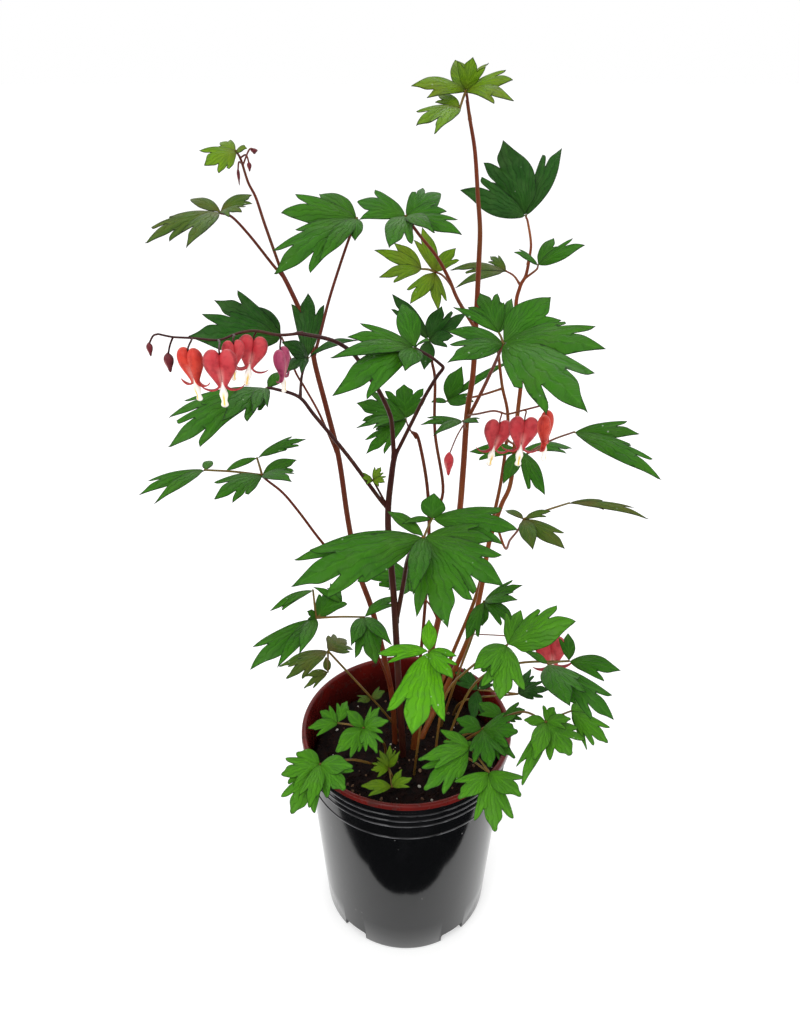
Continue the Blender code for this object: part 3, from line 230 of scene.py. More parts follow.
# each line says which node and output feed which node and input
def joinNodes(tree, *lines):
    for source, output, target, socket in lines:
        tree.links.new(source.outputs[output], target.inputs[socket])


# tells the frame where a piece rides and, if there is one, hides the imported node that it stands for
def enter(piece, node=None):
    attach(piece, "root")
    if node:
        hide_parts(node)


def smoothRun(points, steps):
    if len(points) < 3:
        return list(points)
    ends = [points[0] * 2 - points[1]] + list(points) + [points[-1] * 2 - points[-2]]
    found = []
    for before, first, second, after in zip(ends, ends[1:], ends[2:], ends[3:]):
        for step in range(steps):
            t = step / steps
            found.append(0.5 * (2 * first + (second - before) * t
                                + (2 * before - 5 * first + 4 * second - after) * t ** 2
                                + (3 * first - before - 3 * second + after) * t ** 3))
    return found + [points[-1]]


# Pot, in metres
potShape = {
    "height": 0.186,
    "rim": 0.0825,
    "base": 0.069,
    "wall": 0.0016,
    "floor": 0.002,
    "sides": 144,
    # the underside's middle is raised by hollow, down to the ground between these shares of the base
    "hollow": 0.0006,
    "hollowShares": (0.55, 0.60),
    # its rounded edge, as how far in from the base's radius and how high
    "foot": ((0.002, 0.0), (0.0007, 0.0005), (0.0, 0.002)),
    "outerLevels": (0.03, 0.06, 0.09, 0.12, 0.14),
    "innerLevels": (0.170, 0.150, 0.120, 0.080, 0.040),
    # a ledge at each band: its points are shares of bandStep outwards and rises over the band's level
    "bands": (0.147, 0.160, 0.166, 0.172),
    "bandStep": 0.0007,
    "ledge": ((0.0, -0.0002), (0.9, 0.0003), (1.0, 0.0010), (0.3, 0.0016)),
    # the lip stands lipReach out from the wall, and its edge is rolled inwards
    "lip": 0.008,
    "lipReach": 0.0025,
    "roll": 0.0019,
    "rollInset": 0.0021,
    "rollSteps": 6,
    "notches": 5,
    "notchStart": 16,
    "notchHeight": 0.009,
    "notchWidth": 0.022,
    "notchCorner": 0.0015,
    # how far in from the foot the notches reach, so that the base plate shows dark in them
    "notchDepth": 0.005,
}


def wallRadius(level):
    top = potShape["rim"] - potShape["lipReach"]
    return potShape["base"] + (top - potShape["base"]) * level / potShape["height"]


# the profile as (radius, level, is it inside), from the middle of the underside round to the floor
def potProfile():
    base, rim, height, wall = (potShape[key] for key in ("base", "rim", "height", "wall"))
    lipFoot = height - potShape["lip"]
    hollow, edge = (base * share for share in potShape["hollowShares"])
    found = [(0, potShape["hollow"], 0), (hollow, potShape["hollow"], 0), (edge, 0.0, 0)]
    found += [(base - inset, level, 0) for inset, level in potShape["foot"]]
    found += [(wallRadius(level), level, 0) for level in potShape["outerLevels"]]
    for level in potShape["bands"]:
        for out, rise in potShape["ledge"]:
            found.append((wallRadius(level) + potShape["bandStep"] * out, level + rise, 0))
    found += [
        (wallRadius(lipFoot), lipFoot - 0.0005, 0), (wallRadius(lipFoot) + 0.0002, lipFoot, 0),
        (rim - 0.0006, lipFoot + 0.0004, 0), (rim, lipFoot + 0.0012, 0),
        (rim, height - 0.0038, 0), (rim, height - 0.0032, 1), (rim - 0.0002, height - 0.0022, 1),
    ]
    roll = potShape["roll"]
    for step in range(potShape["rollSteps"] + 1):
        angle = math.radians(10 + 160 * step / potShape["rollSteps"])
        out = rim - potShape["rollInset"] + roll * math.cos(angle)
        found.append((out, height - roll + roll * math.sin(angle), 1))
    found.append((wallRadius(lipFoot) - wall, height - 0.0035, 1))
    found += [(wallRadius(level) - wall, level, 1) for level in potShape["innerLevels"]]
    floor = potShape["floor"]
    return found + [(base - wall, floor + 0.003, 1), (base - wall - 0.003, floor, 0), (0, floor, 0)]


# a shape turned round the upright axis; lift raises its points as the soil's top does
def turned(name, profile, sides, materials, lift=None):
    points, faces, kinds, rings = [], [], [], []
    for radius, level, kind in profile:
        first = len(points)
        count = 1 if radius == 0 else sides
        for side in range(count):
            angle = 2 * math.pi * side / sides
            x, y = radius * math.cos(angle), radius * math.sin(angle)
            points.append(Vector((x, y, level + (lift(x, y, kind) if lift else 0.0))))
        rings.append((first, count, kind))
    for (first, count, _), (second, other, kind) in zip(rings, rings[1:]):
        for side in range(sides):
            after = (side + 1) % sides
            near = (first + side % count, first + after % count)
            far = (second + after % other, second + side % other)
            faces.append(tuple(dict.fromkeys(near + far)))
            kinds.append(kind)
    piece = meshPiece(name, points, faces, materials)
    piece.data.polygons.foreach_set("material_index", kinds if len(materials) > 1 else [0] * len(kinds))
    faceOut(piece)
    return piece


def blackPaint():
    paint = Paint("black moulded plastic", 0.10, shine=0.32)
    cloud = paint.noise(14.0, 3.0)
    fine = paint.noise(500.0, 2.0)
    where = paint.node("TexCoord", output=3)
    dust = paint.node("TexVoronoi", None, {"Vector": where, "Scale": 120.0})
    specks = dust.ramp(0.085, 0.03) * paint.noise(30.0, 2.0).ramp(0.50, 0.62)
    wipe = paint.noise(26.0, 4.0, stretch=(1.0, 1.0, 0.35)).ramp(0.52, 0.80)
    # painted highlights: pale lines along the ledges under the lip, where their edges catch the light
    level = paint.node("SeparateXYZ", None, {"Vector": where}, output=2)
    ledgeGlint = 0.0
    for band in (*potShape["bands"], potShape["height"] - potShape["lip"]):
        ledgeGlint = (level - (band + 0.0006)).sum("ABSOLUTE").ramp(0.0006, 0.0002) + ledgeGlint
    ledgeGlint = ledgeGlint * paint.noise(60.0, 3.0).ramp(0.36, 0.56)
    skin = paint.mix((0.0030, 0.0032, 0.0036), (0.010, 0.010, 0.011), wipe * 0.6)
    # painted highlight on the ledge edges
    skin = paint.mix(skin, (0.16, 0.16, 0.17), ledgeGlint * 0.7)
    paint.feed("Base Color", paint.mix(skin, (0.30, 0.30, 0.29), specks * 0.6))
    paint.feed("Roughness", 0.06 + cloud * 0.05 + wipe * 0.06 + specks * 0.3)
    paint.bump(cloud * 1.0 + fine * 0.05, 0.0009, 0.18)
    return paint.material


def oxbloodPaint():
    paint = Paint("oxblood inner wall", 0.30, shine=0.2)
    cloud = paint.noise(40.0, 3.0)
    dirt = paint.noise(160.0, 4.0).ramp(0.56, 0.72)
    skin = paint.mix((0.115, 0.007, 0.005), (0.070, 0.005, 0.004), cloud.ramp(0.35, 0.65))
    skin = paint.mix(skin, (0.030, 0.014, 0.010), dirt * 0.6)
    # the wall is in shade below the lip
    level = paint.node("SeparateXYZ", None, {"Vector": paint.node("TexCoord", output=3)}, output=2)
    paint.feed("Base Color", paint.mix(skin, (0.016, 0.003, 0.002), level.ramp(0.182, 0.160) * 0.75))
    paint.feed("Roughness", 0.26 + dirt * 0.4)
    paint.bump(cloud, 0.0005, 0.3)
    return paint.material


# a block that cuts one drain notch into the foot
def notchCutter(number):
    angle = math.radians(360 * number / potShape["notches"] + potShape["notchStart"])
    out = Vector((math.cos(angle), math.sin(angle), 0))
    side = Vector((-math.sin(angle), math.cos(angle), 0))
    half, high, corner = potShape["notchWidth"] / 2, potShape["notchHeight"], potShape["notchCorner"]
    outline = ((-half, -0.002), (half, -0.002), (half, high - corner), (half - corner, high),
               (corner - half, high), (-half, high - corner))
    corners = []
    for far in (potShape["base"] - potShape["notchDepth"], potShape["base"] + 0.006):
        corners += [out * far + side * across + Vector((0, 0, level)) for across, level in outline]
    box = [tuple(range(6)), tuple(reversed(range(6, 12)))]
    box += [(i, (i + 1) % 6, (i + 1) % 6 + 6, i + 6) for i in range(6)]
    cutter = meshPiece(f"notch{number}", corners, box, [])
    faceOut(cutter)
    return cutter


def makePot():
    pot = turned("nursery_pot", potProfile(), potShape["sides"], [blackPaint(), oxbloodPaint()])
    cutters = bpy.data.collections.new("notches")
    for number in range(potShape["notches"]):
        cutter = notchCutter(number)
        bpy.context.scene.collection.objects.unlink(cutter)
        cutters.objects.link(cutter)
    cut = pot.modifiers.new("notches", "BOOLEAN")
    cut.operation = "DIFFERENCE"
    cut.operand_type = "COLLECTION"
    cut.collection = cutters
    settle(pot)
    for cutter in list(cutters.objects):
        bpy.data.objects.remove(cutter, do_unlink=True)
    bpy.data.collections.remove(cutters)
    smoothFaces(pot, 32)
    enter(pot, "pot")
    print("pot:", len(pot.data.polygons), "faces")


# Soil, in metres; crumbs, perlite and bark bits are scattered over it by one Geometry Nodes tree
soil = {
    "top": 0.156,
    "swell": 0.002,
    "rings": 40,
    "sides": 120,
    # its edge at the top: how far in from the rim, and how much more for each metre below the rim
    "inset": 0.0045,
    "lean": 0.08,
    "bevel": 0.0004,
    # its foot: how far in from the wall, and how far above the drain notches
    "foot": ((0.0076, 0.002), (0.0038, 0.010)),
    # how far the stems and stalks run down into it
    "footDepth": 0.022,
    # pale and dark colour of the mix and of its crumbs
    "mix": ((0.013, 0.005, 0.004), (0.003, 0.002, 0.002)),
    "crumbs": ((0.026, 0.010, 0.006), (0.006, 0.003, 0.003)),
    # name, bits to a square metre, smallest and largest in metres, seed, finish
    "scatter": (
        ("soil_crumbs", 90000, 0.0005, 0.0016, 3, "crumb"),
        ("perlite_bits", 2600, 0.0006, 0.0017, 8, "pearl"),
        ("bark_bits", 5200, 0.0008, 0.0024, 12, "bark"),
    ),
}


# the point of the soil seen at (across, down)
def onSoil(across, down):
    ray = rayThrough(across, down)
    return view["eye"] + ray * ((soil["top"] - view["eye"].z) / ray.z)


# how far the soil's top rises or falls at a place
def soilTop(x, y, kind):
    if not kind:
        return 0.0
    swell = 0.0011 * math.sin(x * 120 + 1.0) * math.cos(y * 97 - 0.6)
    return swell + 0.0006 * math.sin(x * 410 + y * 260) + 0.0005 * math.sin(y * 530 - x * 190 + 2.0)


def soilPaint(name, pale, dark):
    paint = Paint(name, 0.9, shine=0.1)
    cloud = paint.noise(160.0, 5.0)
    grain = paint.noise(900.0, 3.0)
    skin = paint.mix(dark, pale, cloud.ramp(0.35, 0.7))
    paint.feed("Base Color", paint.mix(skin, [c * 2.5 for c in pale], grain.ramp(0.60, 0.75) * 0.4))
    paint.feed("Roughness", 0.75 + grain * 0.25)
    paint.bump(grain + cloud, 0.0010, 0.8)
    return paint.material


def pearlPaint():
    paint = Paint("perlite", 0.8)
    cloud = paint.noise(600.0, 3.0)
    paint.feed("Base Color", paint.mix((0.50, 0.48, 0.43), (0.22, 0.19, 0.16), cloud.ramp(0.45, 0.7)))
    paint.bump(cloud, 0.0006, 0.6)
    return paint.material


def barkPaint():
    paint = Paint("dry bark bits", 0.8)
    cloud = paint.noise(300.0, 3.0, stretch=(1.0, 0.2, 1.0))
    paint.feed("Base Color", paint.mix((0.075, 0.035, 0.016), (0.20, 0.11, 0.055), cloud.ramp(0.4, 0.7)))
    paint.bump(cloud, 0.0006, 0.6)
    return paint.material


def crumbTree():
    tree = bpy.data.node_groups.new("crumbs over soil", "GeometryNodeTree")
    groupSocket(tree, "Bed", "Geometry")
    kinds = {"Density": "Float", "Small": "Float", "Large": "Float", "Seed": "Int", "Lowest": "Float",
             "Finish": "Material"}
    names = {name: groupSocket(tree, name, kind) for name, kind in kinds.items()}
    groupSocket(tree, "Crumbs", "Geometry", "OUTPUT")
    add = tree.nodes.new
    start = add("NodeGroupInput")
    end = add("NodeGroupOutput")
    scatter = add("GeometryNodeDistributePointsOnFaces")
    lump = add("GeometryNodeMeshIcoSphere")
    put = add("GeometryNodeInstanceOnPoints")
    turn = add("FunctionNodeRandomValue")
    stretch = add("FunctionNodeRandomValue")
    uneven = add("FunctionNodeRandomValue")
    where = add("GeometryNodeInputPosition")
    above = add("FunctionNodeCompare")
    apart = add("ShaderNodeSeparateXYZ")
    scaled = add("ShaderNodeVectorMath")
    realize = add("GeometryNodeRealizeInstances")
    finish = add("GeometryNodeSetMaterial")
    turn.data_type = stretch.data_type = "FLOAT_VECTOR"
    turn.inputs[1].default_value = (6.3, 6.3, 6.3)
    stretch.inputs[0].default_value = (0.6, 0.5, 0.35)
    stretch.inputs[1].default_value = (1.2, 1.0, 0.8)
    scaled.operation = "SCALE"
    above.operation = "GREATER_THAN"
    lump.inputs["Subdivisions"].default_value = 1
    lump.inputs["Radius"].default_value = 1.0
    joinNodes(
        tree,
        (start, "Bed", scatter, "Mesh"),
        (start, "Density", scatter, "Density"),
        (start, "Seed", scatter, "Seed"),
        # only the top of the bed is strewn
        (where, 0, apart, 0),
        (apart, "Z", above, 0),
        (start, "Lowest", above, 1),
        (above, 0, scatter, "Selection"),
        (start, "Small", uneven, 2),
        (start, "Large", uneven, 3),
        (stretch, 0, scaled, 0),
        (uneven, 1, scaled, "Scale"),
        (scatter, "Points", put, "Points"),
        (lump, "Mesh", put, "Instance"),
        (turn, 0, put, "Rotation"),
        (scaled, 0, put, "Scale"),
        (put, "Instances", realize, "Geometry"),
        (realize, "Geometry", finish, "Geometry"),
        (start, "Finish", finish, "Material"),
        (finish, "Geometry", end, "Crumbs"),
    )
    return tree, names


def makeSoil():
    top = soil["top"]
    low = potShape["notchHeight"]
    edge = potShape["rim"] - soil["inset"] - potShape["wall"] - (potShape["height"] - top) * soil["lean"]
    profile = [(0, low + soil["foot"][0][1], 0)]
    profile += [(wallRadius(low) - inset, low + rise, 0) for inset, rise in soil["foot"]]
    profile.append((edge - soil["bevel"], top - 0.004, 0))
    for step in range(1, soil["rings"]):
        share = 1 - step / soil["rings"]
        profile.append((edge * share - soil["bevel"] * share, top + soil["swell"] * (1 - share), 1))
    profile.append((0, top + soil["swell"], 1))
    bed = turned("potting_mix", profile, soil["sides"], [soilPaint("potting mix", *soil["mix"])], soilTop)
    smoothFaces(bed, 60)
    tree, names = crumbTree()
    crumbs = soilPaint("soil crumbs", *soil["crumbs"])
    paints = {"crumb": crumbs, "pearl": pearlPaint(), "bark": barkPaint()}
    points = [corner.co for corner in bed.data.vertices]
    faces = [tuple(face.vertices) for face in bed.data.polygons]
    for name, density, small, large, seed, finish in soil["scatter"]:
        host = meshPiece(name, points, faces, [])
        values = {"Density": density, "Small": small, "Large": large, "Seed": seed, "Lowest": top - 0.003,
                  "Finish": paints[finish]}
        piece = runNodes(host, tree, {names[key]: value for key, value in values.items()})
        smoothFaces(piece, 40)
        enter(piece)
        print(name, len(piece.data.polygons), "faces")
    enter(bed, "soil")


# Each shoot: where it leaves the soil, then its stem and its branches. A branch is its thickness at the
# start and the end, in millimetres, and its way as (across, down, depth) places in the view
shoots = {
    "shoot_front": {
        "foot": (403, 757),
        "branches": [
            (5.8, 3.4, [
                (399, 690, -18), (394, 600, -24), (388, 523, -28), (392, 472, -30), (396, 450, -32),
            ]),
            (2.9, 2.0, [
                (394, 458, -31), (392, 426, -36), (389, 412, -40), (379, 391, -46), (369, 377, -52),
                (356, 357, -60), (345, 347, -68), (328, 339, -76), (297, 333, -86),
            ]),
            (1.6, 1.0, [
                (303, 333, -84), (279, 335, -88), (257, 331, -90), (243, 332, -91), (233, 335, -91),
                (218, 340, -92), (192, 338, -93), (173, 337, -94), (158, 334, -95),
            ]),
            (2.4, 1.6, [
                (395, 456, -31), (413, 420, -38), (424, 398, -44), (436, 378, -50), (442, 370, -53),
                (443, 367, -54), (440, 364, -55), (431, 357, -58), (415, 348, -62),
            ]),
            (2.8, 1.6, [
                (388, 508, -28), (379, 498, -30), (348, 456, -36), (315, 416, -42), (299, 397, -44),
                (275, 389, -44), (267, 388, -44),
            ]),
            (1.8, 1.2, [(300, 398, -44), (302, 375, -36), (308, 358, -26)]),
            (1.6, 1.2, [(387, 506, -28), (379, 491, -33), (373, 480, -38)]),
            (3.6, 2.2, [
                (396, 622, -22), (400, 602, -24), (404, 580, -30), (407, 562, -40), (412, 549, -54),
                (418, 542, -62), (424, 537, -70),
            ]),
        ],
    },
    "shoot_left": {
        "foot": (395, 744),
        "branches": [
            (4.6, 2.6, [
                (391, 690, 6), (374, 616, 4), (358, 570, 6), (348, 520, 8), (339, 459, 10), (327, 410, 10),
                (315, 364, 10), (310, 333, 10), (304, 319, 10), (289, 287, 10), (280, 270, 10),
            ]),
            (1.9, 1.3, [(283, 276, 10), (273, 265, 8), (250, 236, 0), (232, 217, -8), (220, 213, -12)]),
            (1.9, 1.2, [
                (283, 276, 10), (265, 225, 14), (256, 198, 14), (248, 182, 12), (241, 160, 10),
                (236, 151, 8),
            ]),
            (2.1, 1.5, [
                (314, 356, 10), (320, 335, 18), (329, 300, 24), (340, 265, 26), (350, 236, 24),
                (357, 219, 20),
            ]),
            (2.2, 1.4, [
                (358, 570, 6), (342, 564, -4), (321, 541, -14), (299, 512, -24), (283, 493, -30),
                (268, 481, -32), (262, 476, -34),
            ]),
            (1.6, 1.2, [
                (336, 452, 10), (320, 415, -2), (305, 388, 0), (296, 373, -6), (288, 352, -6),
                (282, 338, -2),
            ]),
            (2.2, 1.4, [(390, 688, 6), (385, 672, -8), (379, 658, -18), (370, 636, -28), (364, 617, -34)]),
        ],
    },
    "shoot_tall": {
        "foot": (413, 751),
        "branches": [
            (5.4, 1.7, [
                (425, 680, 12), (445, 590, 14), (458, 523, 16), (463, 472, 16), (467, 415, 16),
                (473, 374, 16), (476, 322, 16), (479, 260, 16), (480, 229, 15), (478, 198, 14),
                (475, 152, 12), (470, 120, 10), (467, 100, 8),
            ]),
            (1.8, 1.2, [(470, 120, 10), (467, 96, 8), (466, 91, 8)]),
            (2.6, 1.7, [(467, 420, 16), (480, 395, 4), (491, 372, -12), (499, 354, -28), (503, 343, -36)]),
            (1.4, 1.0, [
                (467, 415, 16), (477, 414, -4), (492, 411, -24), (500, 412, -31), (508, 414, -38),
                (524, 410, -46), (543, 405, -54), (548, 402, -55),
            ]),
            (2.4, 1.6, [
                (475, 328, 16), (458, 300, 0), (449, 279, -10), (437, 257, -18), (421, 237, -24),
                (406, 217, -28),
            ]),
            (1.6, 1.1, [(458, 300, 0), (450, 284, 14), (442, 275, 26), (435, 272, 34)]),
            (1.6, 1.1, [(438, 620, 13), (430, 605, 13), (420, 594, 12), (414, 585, 12)]),
            (1.4, 1.0, [(466, 430, 16), (464, 424, 6), (463, 421, -4)]),
        ],
    },
    "shoot_right": {
        "foot": (421, 740),
        "branches": [
            (4.8, 1.9, [
                (445, 690, 34), (470, 634, 40), (482, 585, 44), (489, 543, 46), (501, 506, 46),
                (511, 481, 46), (517, 419, 46), (522, 364, 46), (516, 310, 46), (520, 287, 46),
                (526, 275, 46), (530, 255, 47),
            ]),
            (1.8, 1.2, [(528, 265, 46), (531, 245, 48), (528, 223, 50), (526, 217, 50)]),
            (1.6, 1.1, [(524, 279, 46), (536, 270, 38), (538, 266, 34)]),
            (1.6, 1.1, [(521, 286, 46), (514, 276, 52), (506, 271, 58)]),
            (2.0, 1.4, [(495, 520, 46), (505, 548, 26), (510, 540, 8), (518, 530, -6), (524, 519, -14)]),
        ],
    },
    "shoot_back": {
        "foot": (426, 727),
        "branches": [
            (3.8, 1.8, [
                (450, 660, 62), (478, 590, 66), (494, 515, 70), (502, 475, 70), (508, 420, 70),
                (502, 385, 70), (498, 350, 70), (496, 340, 68),
            ]),
            (1.8, 1.2, [(507, 440, 70), (516, 446, 58), (520, 451, 48)]),
            (1.8, 1.2, [(503, 470, 70), (530, 452, 50), (552, 440, 24), (574, 432, 2)]),
            (1.8, 1.2, [(504, 388, 70), (478, 396, 72), (455, 400, 70), (447, 401, 68)]),
        ],
    },
    "shoot_thin": {
        "foot": (408, 730),
        "branches": [
            (3.2, 2.4, [(420, 660, 52), (428, 560, 56), (428, 495, 58), (419, 441, 58), (412, 432, 58)]),
            (1.5, 1.1, [(416, 438, 58), (409, 428, 54), (406, 420, 48)]),
            (2.5, 1.8, [
                (429, 520, 58), (443, 492, 46), (435, 433, 42), (435, 381, 42), (432, 362, 40),
                (429, 340, 36),
            ]),
        ],
    },
}

# Flower stalks run from the spray to the heart
flowerStalks = {
    "shoot_front": [
        ((192, 338, -93), (188, 348, -98)),
        ((218, 340, -92), (219, 349, -113)),
        ((257, 331, -90), (254, 336, -89)),
        ((233, 335, -91), (233, 340, -100)),
        ((279, 335, -88), (280, 347, -86)),
    ],
    "shoot_tall": [
        ((500, 412, -31), (500, 420, -33)),
        ((524, 410, -46), (525, 417, -47)),
        ((543, 405, -54), (546, 413, -66)),
    ],
    # hidden behind leaves in the photo, so it is in this script only
    "shoot_right": [((470, 634, 40), (550, 640, -30))],
}

# Buds have a stalk of three places, then a width and a length in millimetres
buds = {
    "shoot_front": [
        ((158, 334, -95), (153, 336, -95), (149, 344, -95), 3.2, 7.0),
        ((173, 337, -94), (170, 345, -93), (168, 355, -92), 5.0, 10.0),
    ],
    "shoot_left": [
        ((243, 165, 12), (239, 162, 6), (238, 170, 4), 1.8, 9.0),
        ((240, 158, 10), (246, 155, 6), (249, 163, 6), 2.6, 5.0),
        ((243, 165, 12), (249, 150, 16), (254, 149, 18), 4.0, 3.0),
    ],
    "shoot_tall": [((466, 421, 16), (457, 436, 6), (449, 455, 2), 6.5, 17.0)],
}

# Stems and stalks follow their routes through a Geometry Nodes tree; thicknesses are radii in metres
stemSettings = {
    "sides": 12,
    "stalkSides": 8,
    "pathSteps": 7,
    "flowerStalk": (0.50 * mm, 0.42 * mm),
    "budStalk": (0.50 * mm, 0.45 * mm),
    "bow": (0.0008, -0.0006, 0.0012),
    # how far a flower's stalk runs down between the heart's lobes
    "cleft": 3 * mm,
    # the swollen joint at a branch's start: its length and its girth at both ends
    "joint": 4 * mm,
    "jointGirth": (1.35, 0.98),
}

stemColours = {
    "shoot_front": {"low": (0.050, 0.012, 0.007), "high": (0.030, 0.005, 0.006), "green": 0.05},
    "shoot_left": {"low": (0.110, 0.022, 0.006), "high": (0.100, 0.010, 0.005), "green": 0.10},
    "shoot_tall": {"low": (0.150, 0.034, 0.007), "high": (0.115, 0.012, 0.005), "green": 0.15},
    "shoot_right": {"low": (0.190, 0.050, 0.008), "high": (0.150, 0.020, 0.006), "green": 0.20},
    "shoot_back": {"low": (0.180, 0.055, 0.010), "high": (0.130, 0.022, 0.007), "green": 0.20},
    "shoot_thin": {"low": (0.110, 0.026, 0.008), "high": (0.085, 0.012, 0.006), "green": 0.10},
    "stalks": {"low": (0.160, 0.058, 0.014), "high": (0.100, 0.080, 0.014), "green": 0.35},
}


def stemPaint(name, colours):
    paint = Paint(name, 0.42, coat=0.08, shine=0.18)
    age = paint.attribute("age")
    streakAndGlint = paint.noise(420.0, 3.0, stretch=(1.0, 1.0, 0.06))
    cloud = paint.noise(60.0, 2.0)
    skin = paint.mix(colours["low"], colours["high"], age)
    # painted highlights: lighter streaks along the stem
    skin = paint.mix(skin, [c * 1.9 for c in colours["low"]], streakAndGlint.ramp(0.50, 0.75) * 0.4)
    green = (cloud.ramp(0.50, 0.72)) * colours["green"]
    skin = paint.mix(skin, (0.100, 0.130, 0.020), green)
    paint.feed("Base Color", skin)
    paint.feed("Roughness", 0.34 + streakAndGlint * 0.22)
    paint.bump(streakAndGlint, 0.0004, 0.5)
    return paint.material


def stemTree():
    tree = bpy.data.node_groups.new("stems along routes", "GeometryNodeTree")
    groupSocket(tree, "Routes", "Geometry")
    names = {"Sides": groupSocket(tree, "Sides", "Int"), "Bark": groupSocket(tree, "Bark", "Material")}
    groupSocket(tree, "Stems", "Geometry", "OUTPUT")
    add = tree.nodes.new
    start = add("NodeGroupInput")
    end = add("NodeGroupOutput")
    curve = add("GeometryNodeMeshToCurve")
    girth = add("GeometryNodeInputNamedAttribute")
    ring = add("GeometryNodeCurvePrimitiveCircle")
    sweep = add("GeometryNodeCurveToMesh")
    smooth = add("GeometryNodeSetShadeSmooth")
    realize = add("GeometryNodeRealizeInstances")
    bark = add("GeometryNodeSetMaterial")
    girth.inputs["Name"].default_value = "girth"
    ring.inputs["Radius"].default_value = 1.0
    sweep.inputs["Fill Caps"].default_value = True
    joinNodes(
        tree,
        (start, "Routes", curve, "Mesh"),
        (curve, "Curve", sweep, "Curve"),
        (girth, "Attribute", sweep, "Scale"),
        (start, "Sides", ring, "Resolution"),
        (ring, "Curve", sweep, "Profile Curve"),
        (sweep, "Mesh", smooth, "Geometry"),
        (smooth, "Geometry", realize, "Geometry"),
        (realize, "Geometry", bark, "Geometry"),
        (start, "Bark", bark, "Material"),
        (bark, "Geometry", end, "Stems"),
    )
    return tree, names


# one piece from several routes, each (points, start radius, end radius, age at its start, age at its end)
def growTubes(name, routes, sides, material):
    points, edges, girth, age = [], [], [], []
    for route, startRadius, endRadius, startAge, endAge in routes:
        path = smoothRun(route, stemSettings["pathSteps"])
        first = len(points)
        for i, point in enumerate(path):
            share = i / (len(path) - 1)
            points.append(point)
            girth.append(startRadius + (endRadius - startRadius) * share)
            age.append(startAge + (endAge - startAge) * share)
            if i:
                edges.append((first + i - 1, first + i))
    host = meshPiece(name, points, [], [], {"girth": girth, "age": age}, edges=edges)
    tree, names = stemNodes
    return runNodes(host, tree, {names["Sides"]: sides, names["Bark"]: material})


# the swollen joint where a branch leaves the stem
def jointRoute(route, width):
    ahead = route[0].lerp(route[1], min(1.0, stemSettings["joint"] / (route[1] - route[0]).length))
    radius = width / 2 * mm
    thick, thin = stemSettings["jointGirth"]
    return [route[0], route[0].lerp(ahead, 0.5), ahead], radius * thick, radius * thin, 0.5, 0.6


# a flower's stalk bows a little and ends in the cleft of the heart
def flowerRoute(start, stop):
    high, low = place(*start), place(*stop)
    bow = high.lerp(low, 0.45) + Vector(stemSettings["bow"])
    cleft = low - Vector((0, 0, stemSettings["cleft"]))
    return [high, bow, low, cleft], *stemSettings["flowerStalk"], 0.9, 1.0


def makeShoots():
    for name, shoot in shoots.items():
        foot = onSoil(*shoot["foot"])
        routes = []
        for number, (startWidth, endWidth, spots) in enumerate(shoot["branches"]):
            route = [place(*spot) for spot in spots]
            radii = (startWidth / 2 * mm, endWidth / 2 * mm)
            if number:
                routes.append((route, *radii, 0.35, 1.0))
                routes.append(jointRoute(route, startWidth))
            else:
                route = [foot - Vector((0, 0, soil["footDepth"])), foot] + route
                routes.append((route, *radii, 0.0, 0.8))
        routes += [flowerRoute(start, stop) for start, stop in flowerStalks.get(name, [])]
        for *spots, _, _ in buds.get(name, []):
            routes.append(([place(*spot) for spot in spots], *stemSettings["budStalk"], 0.9, 1.0))
        bark = stemPaint(name + " skin", stemColours[name])
        enter(growTubes(name + "_skin", routes, stemSettings["sides"], bark), name)
    print("shoots:", len(shoots))


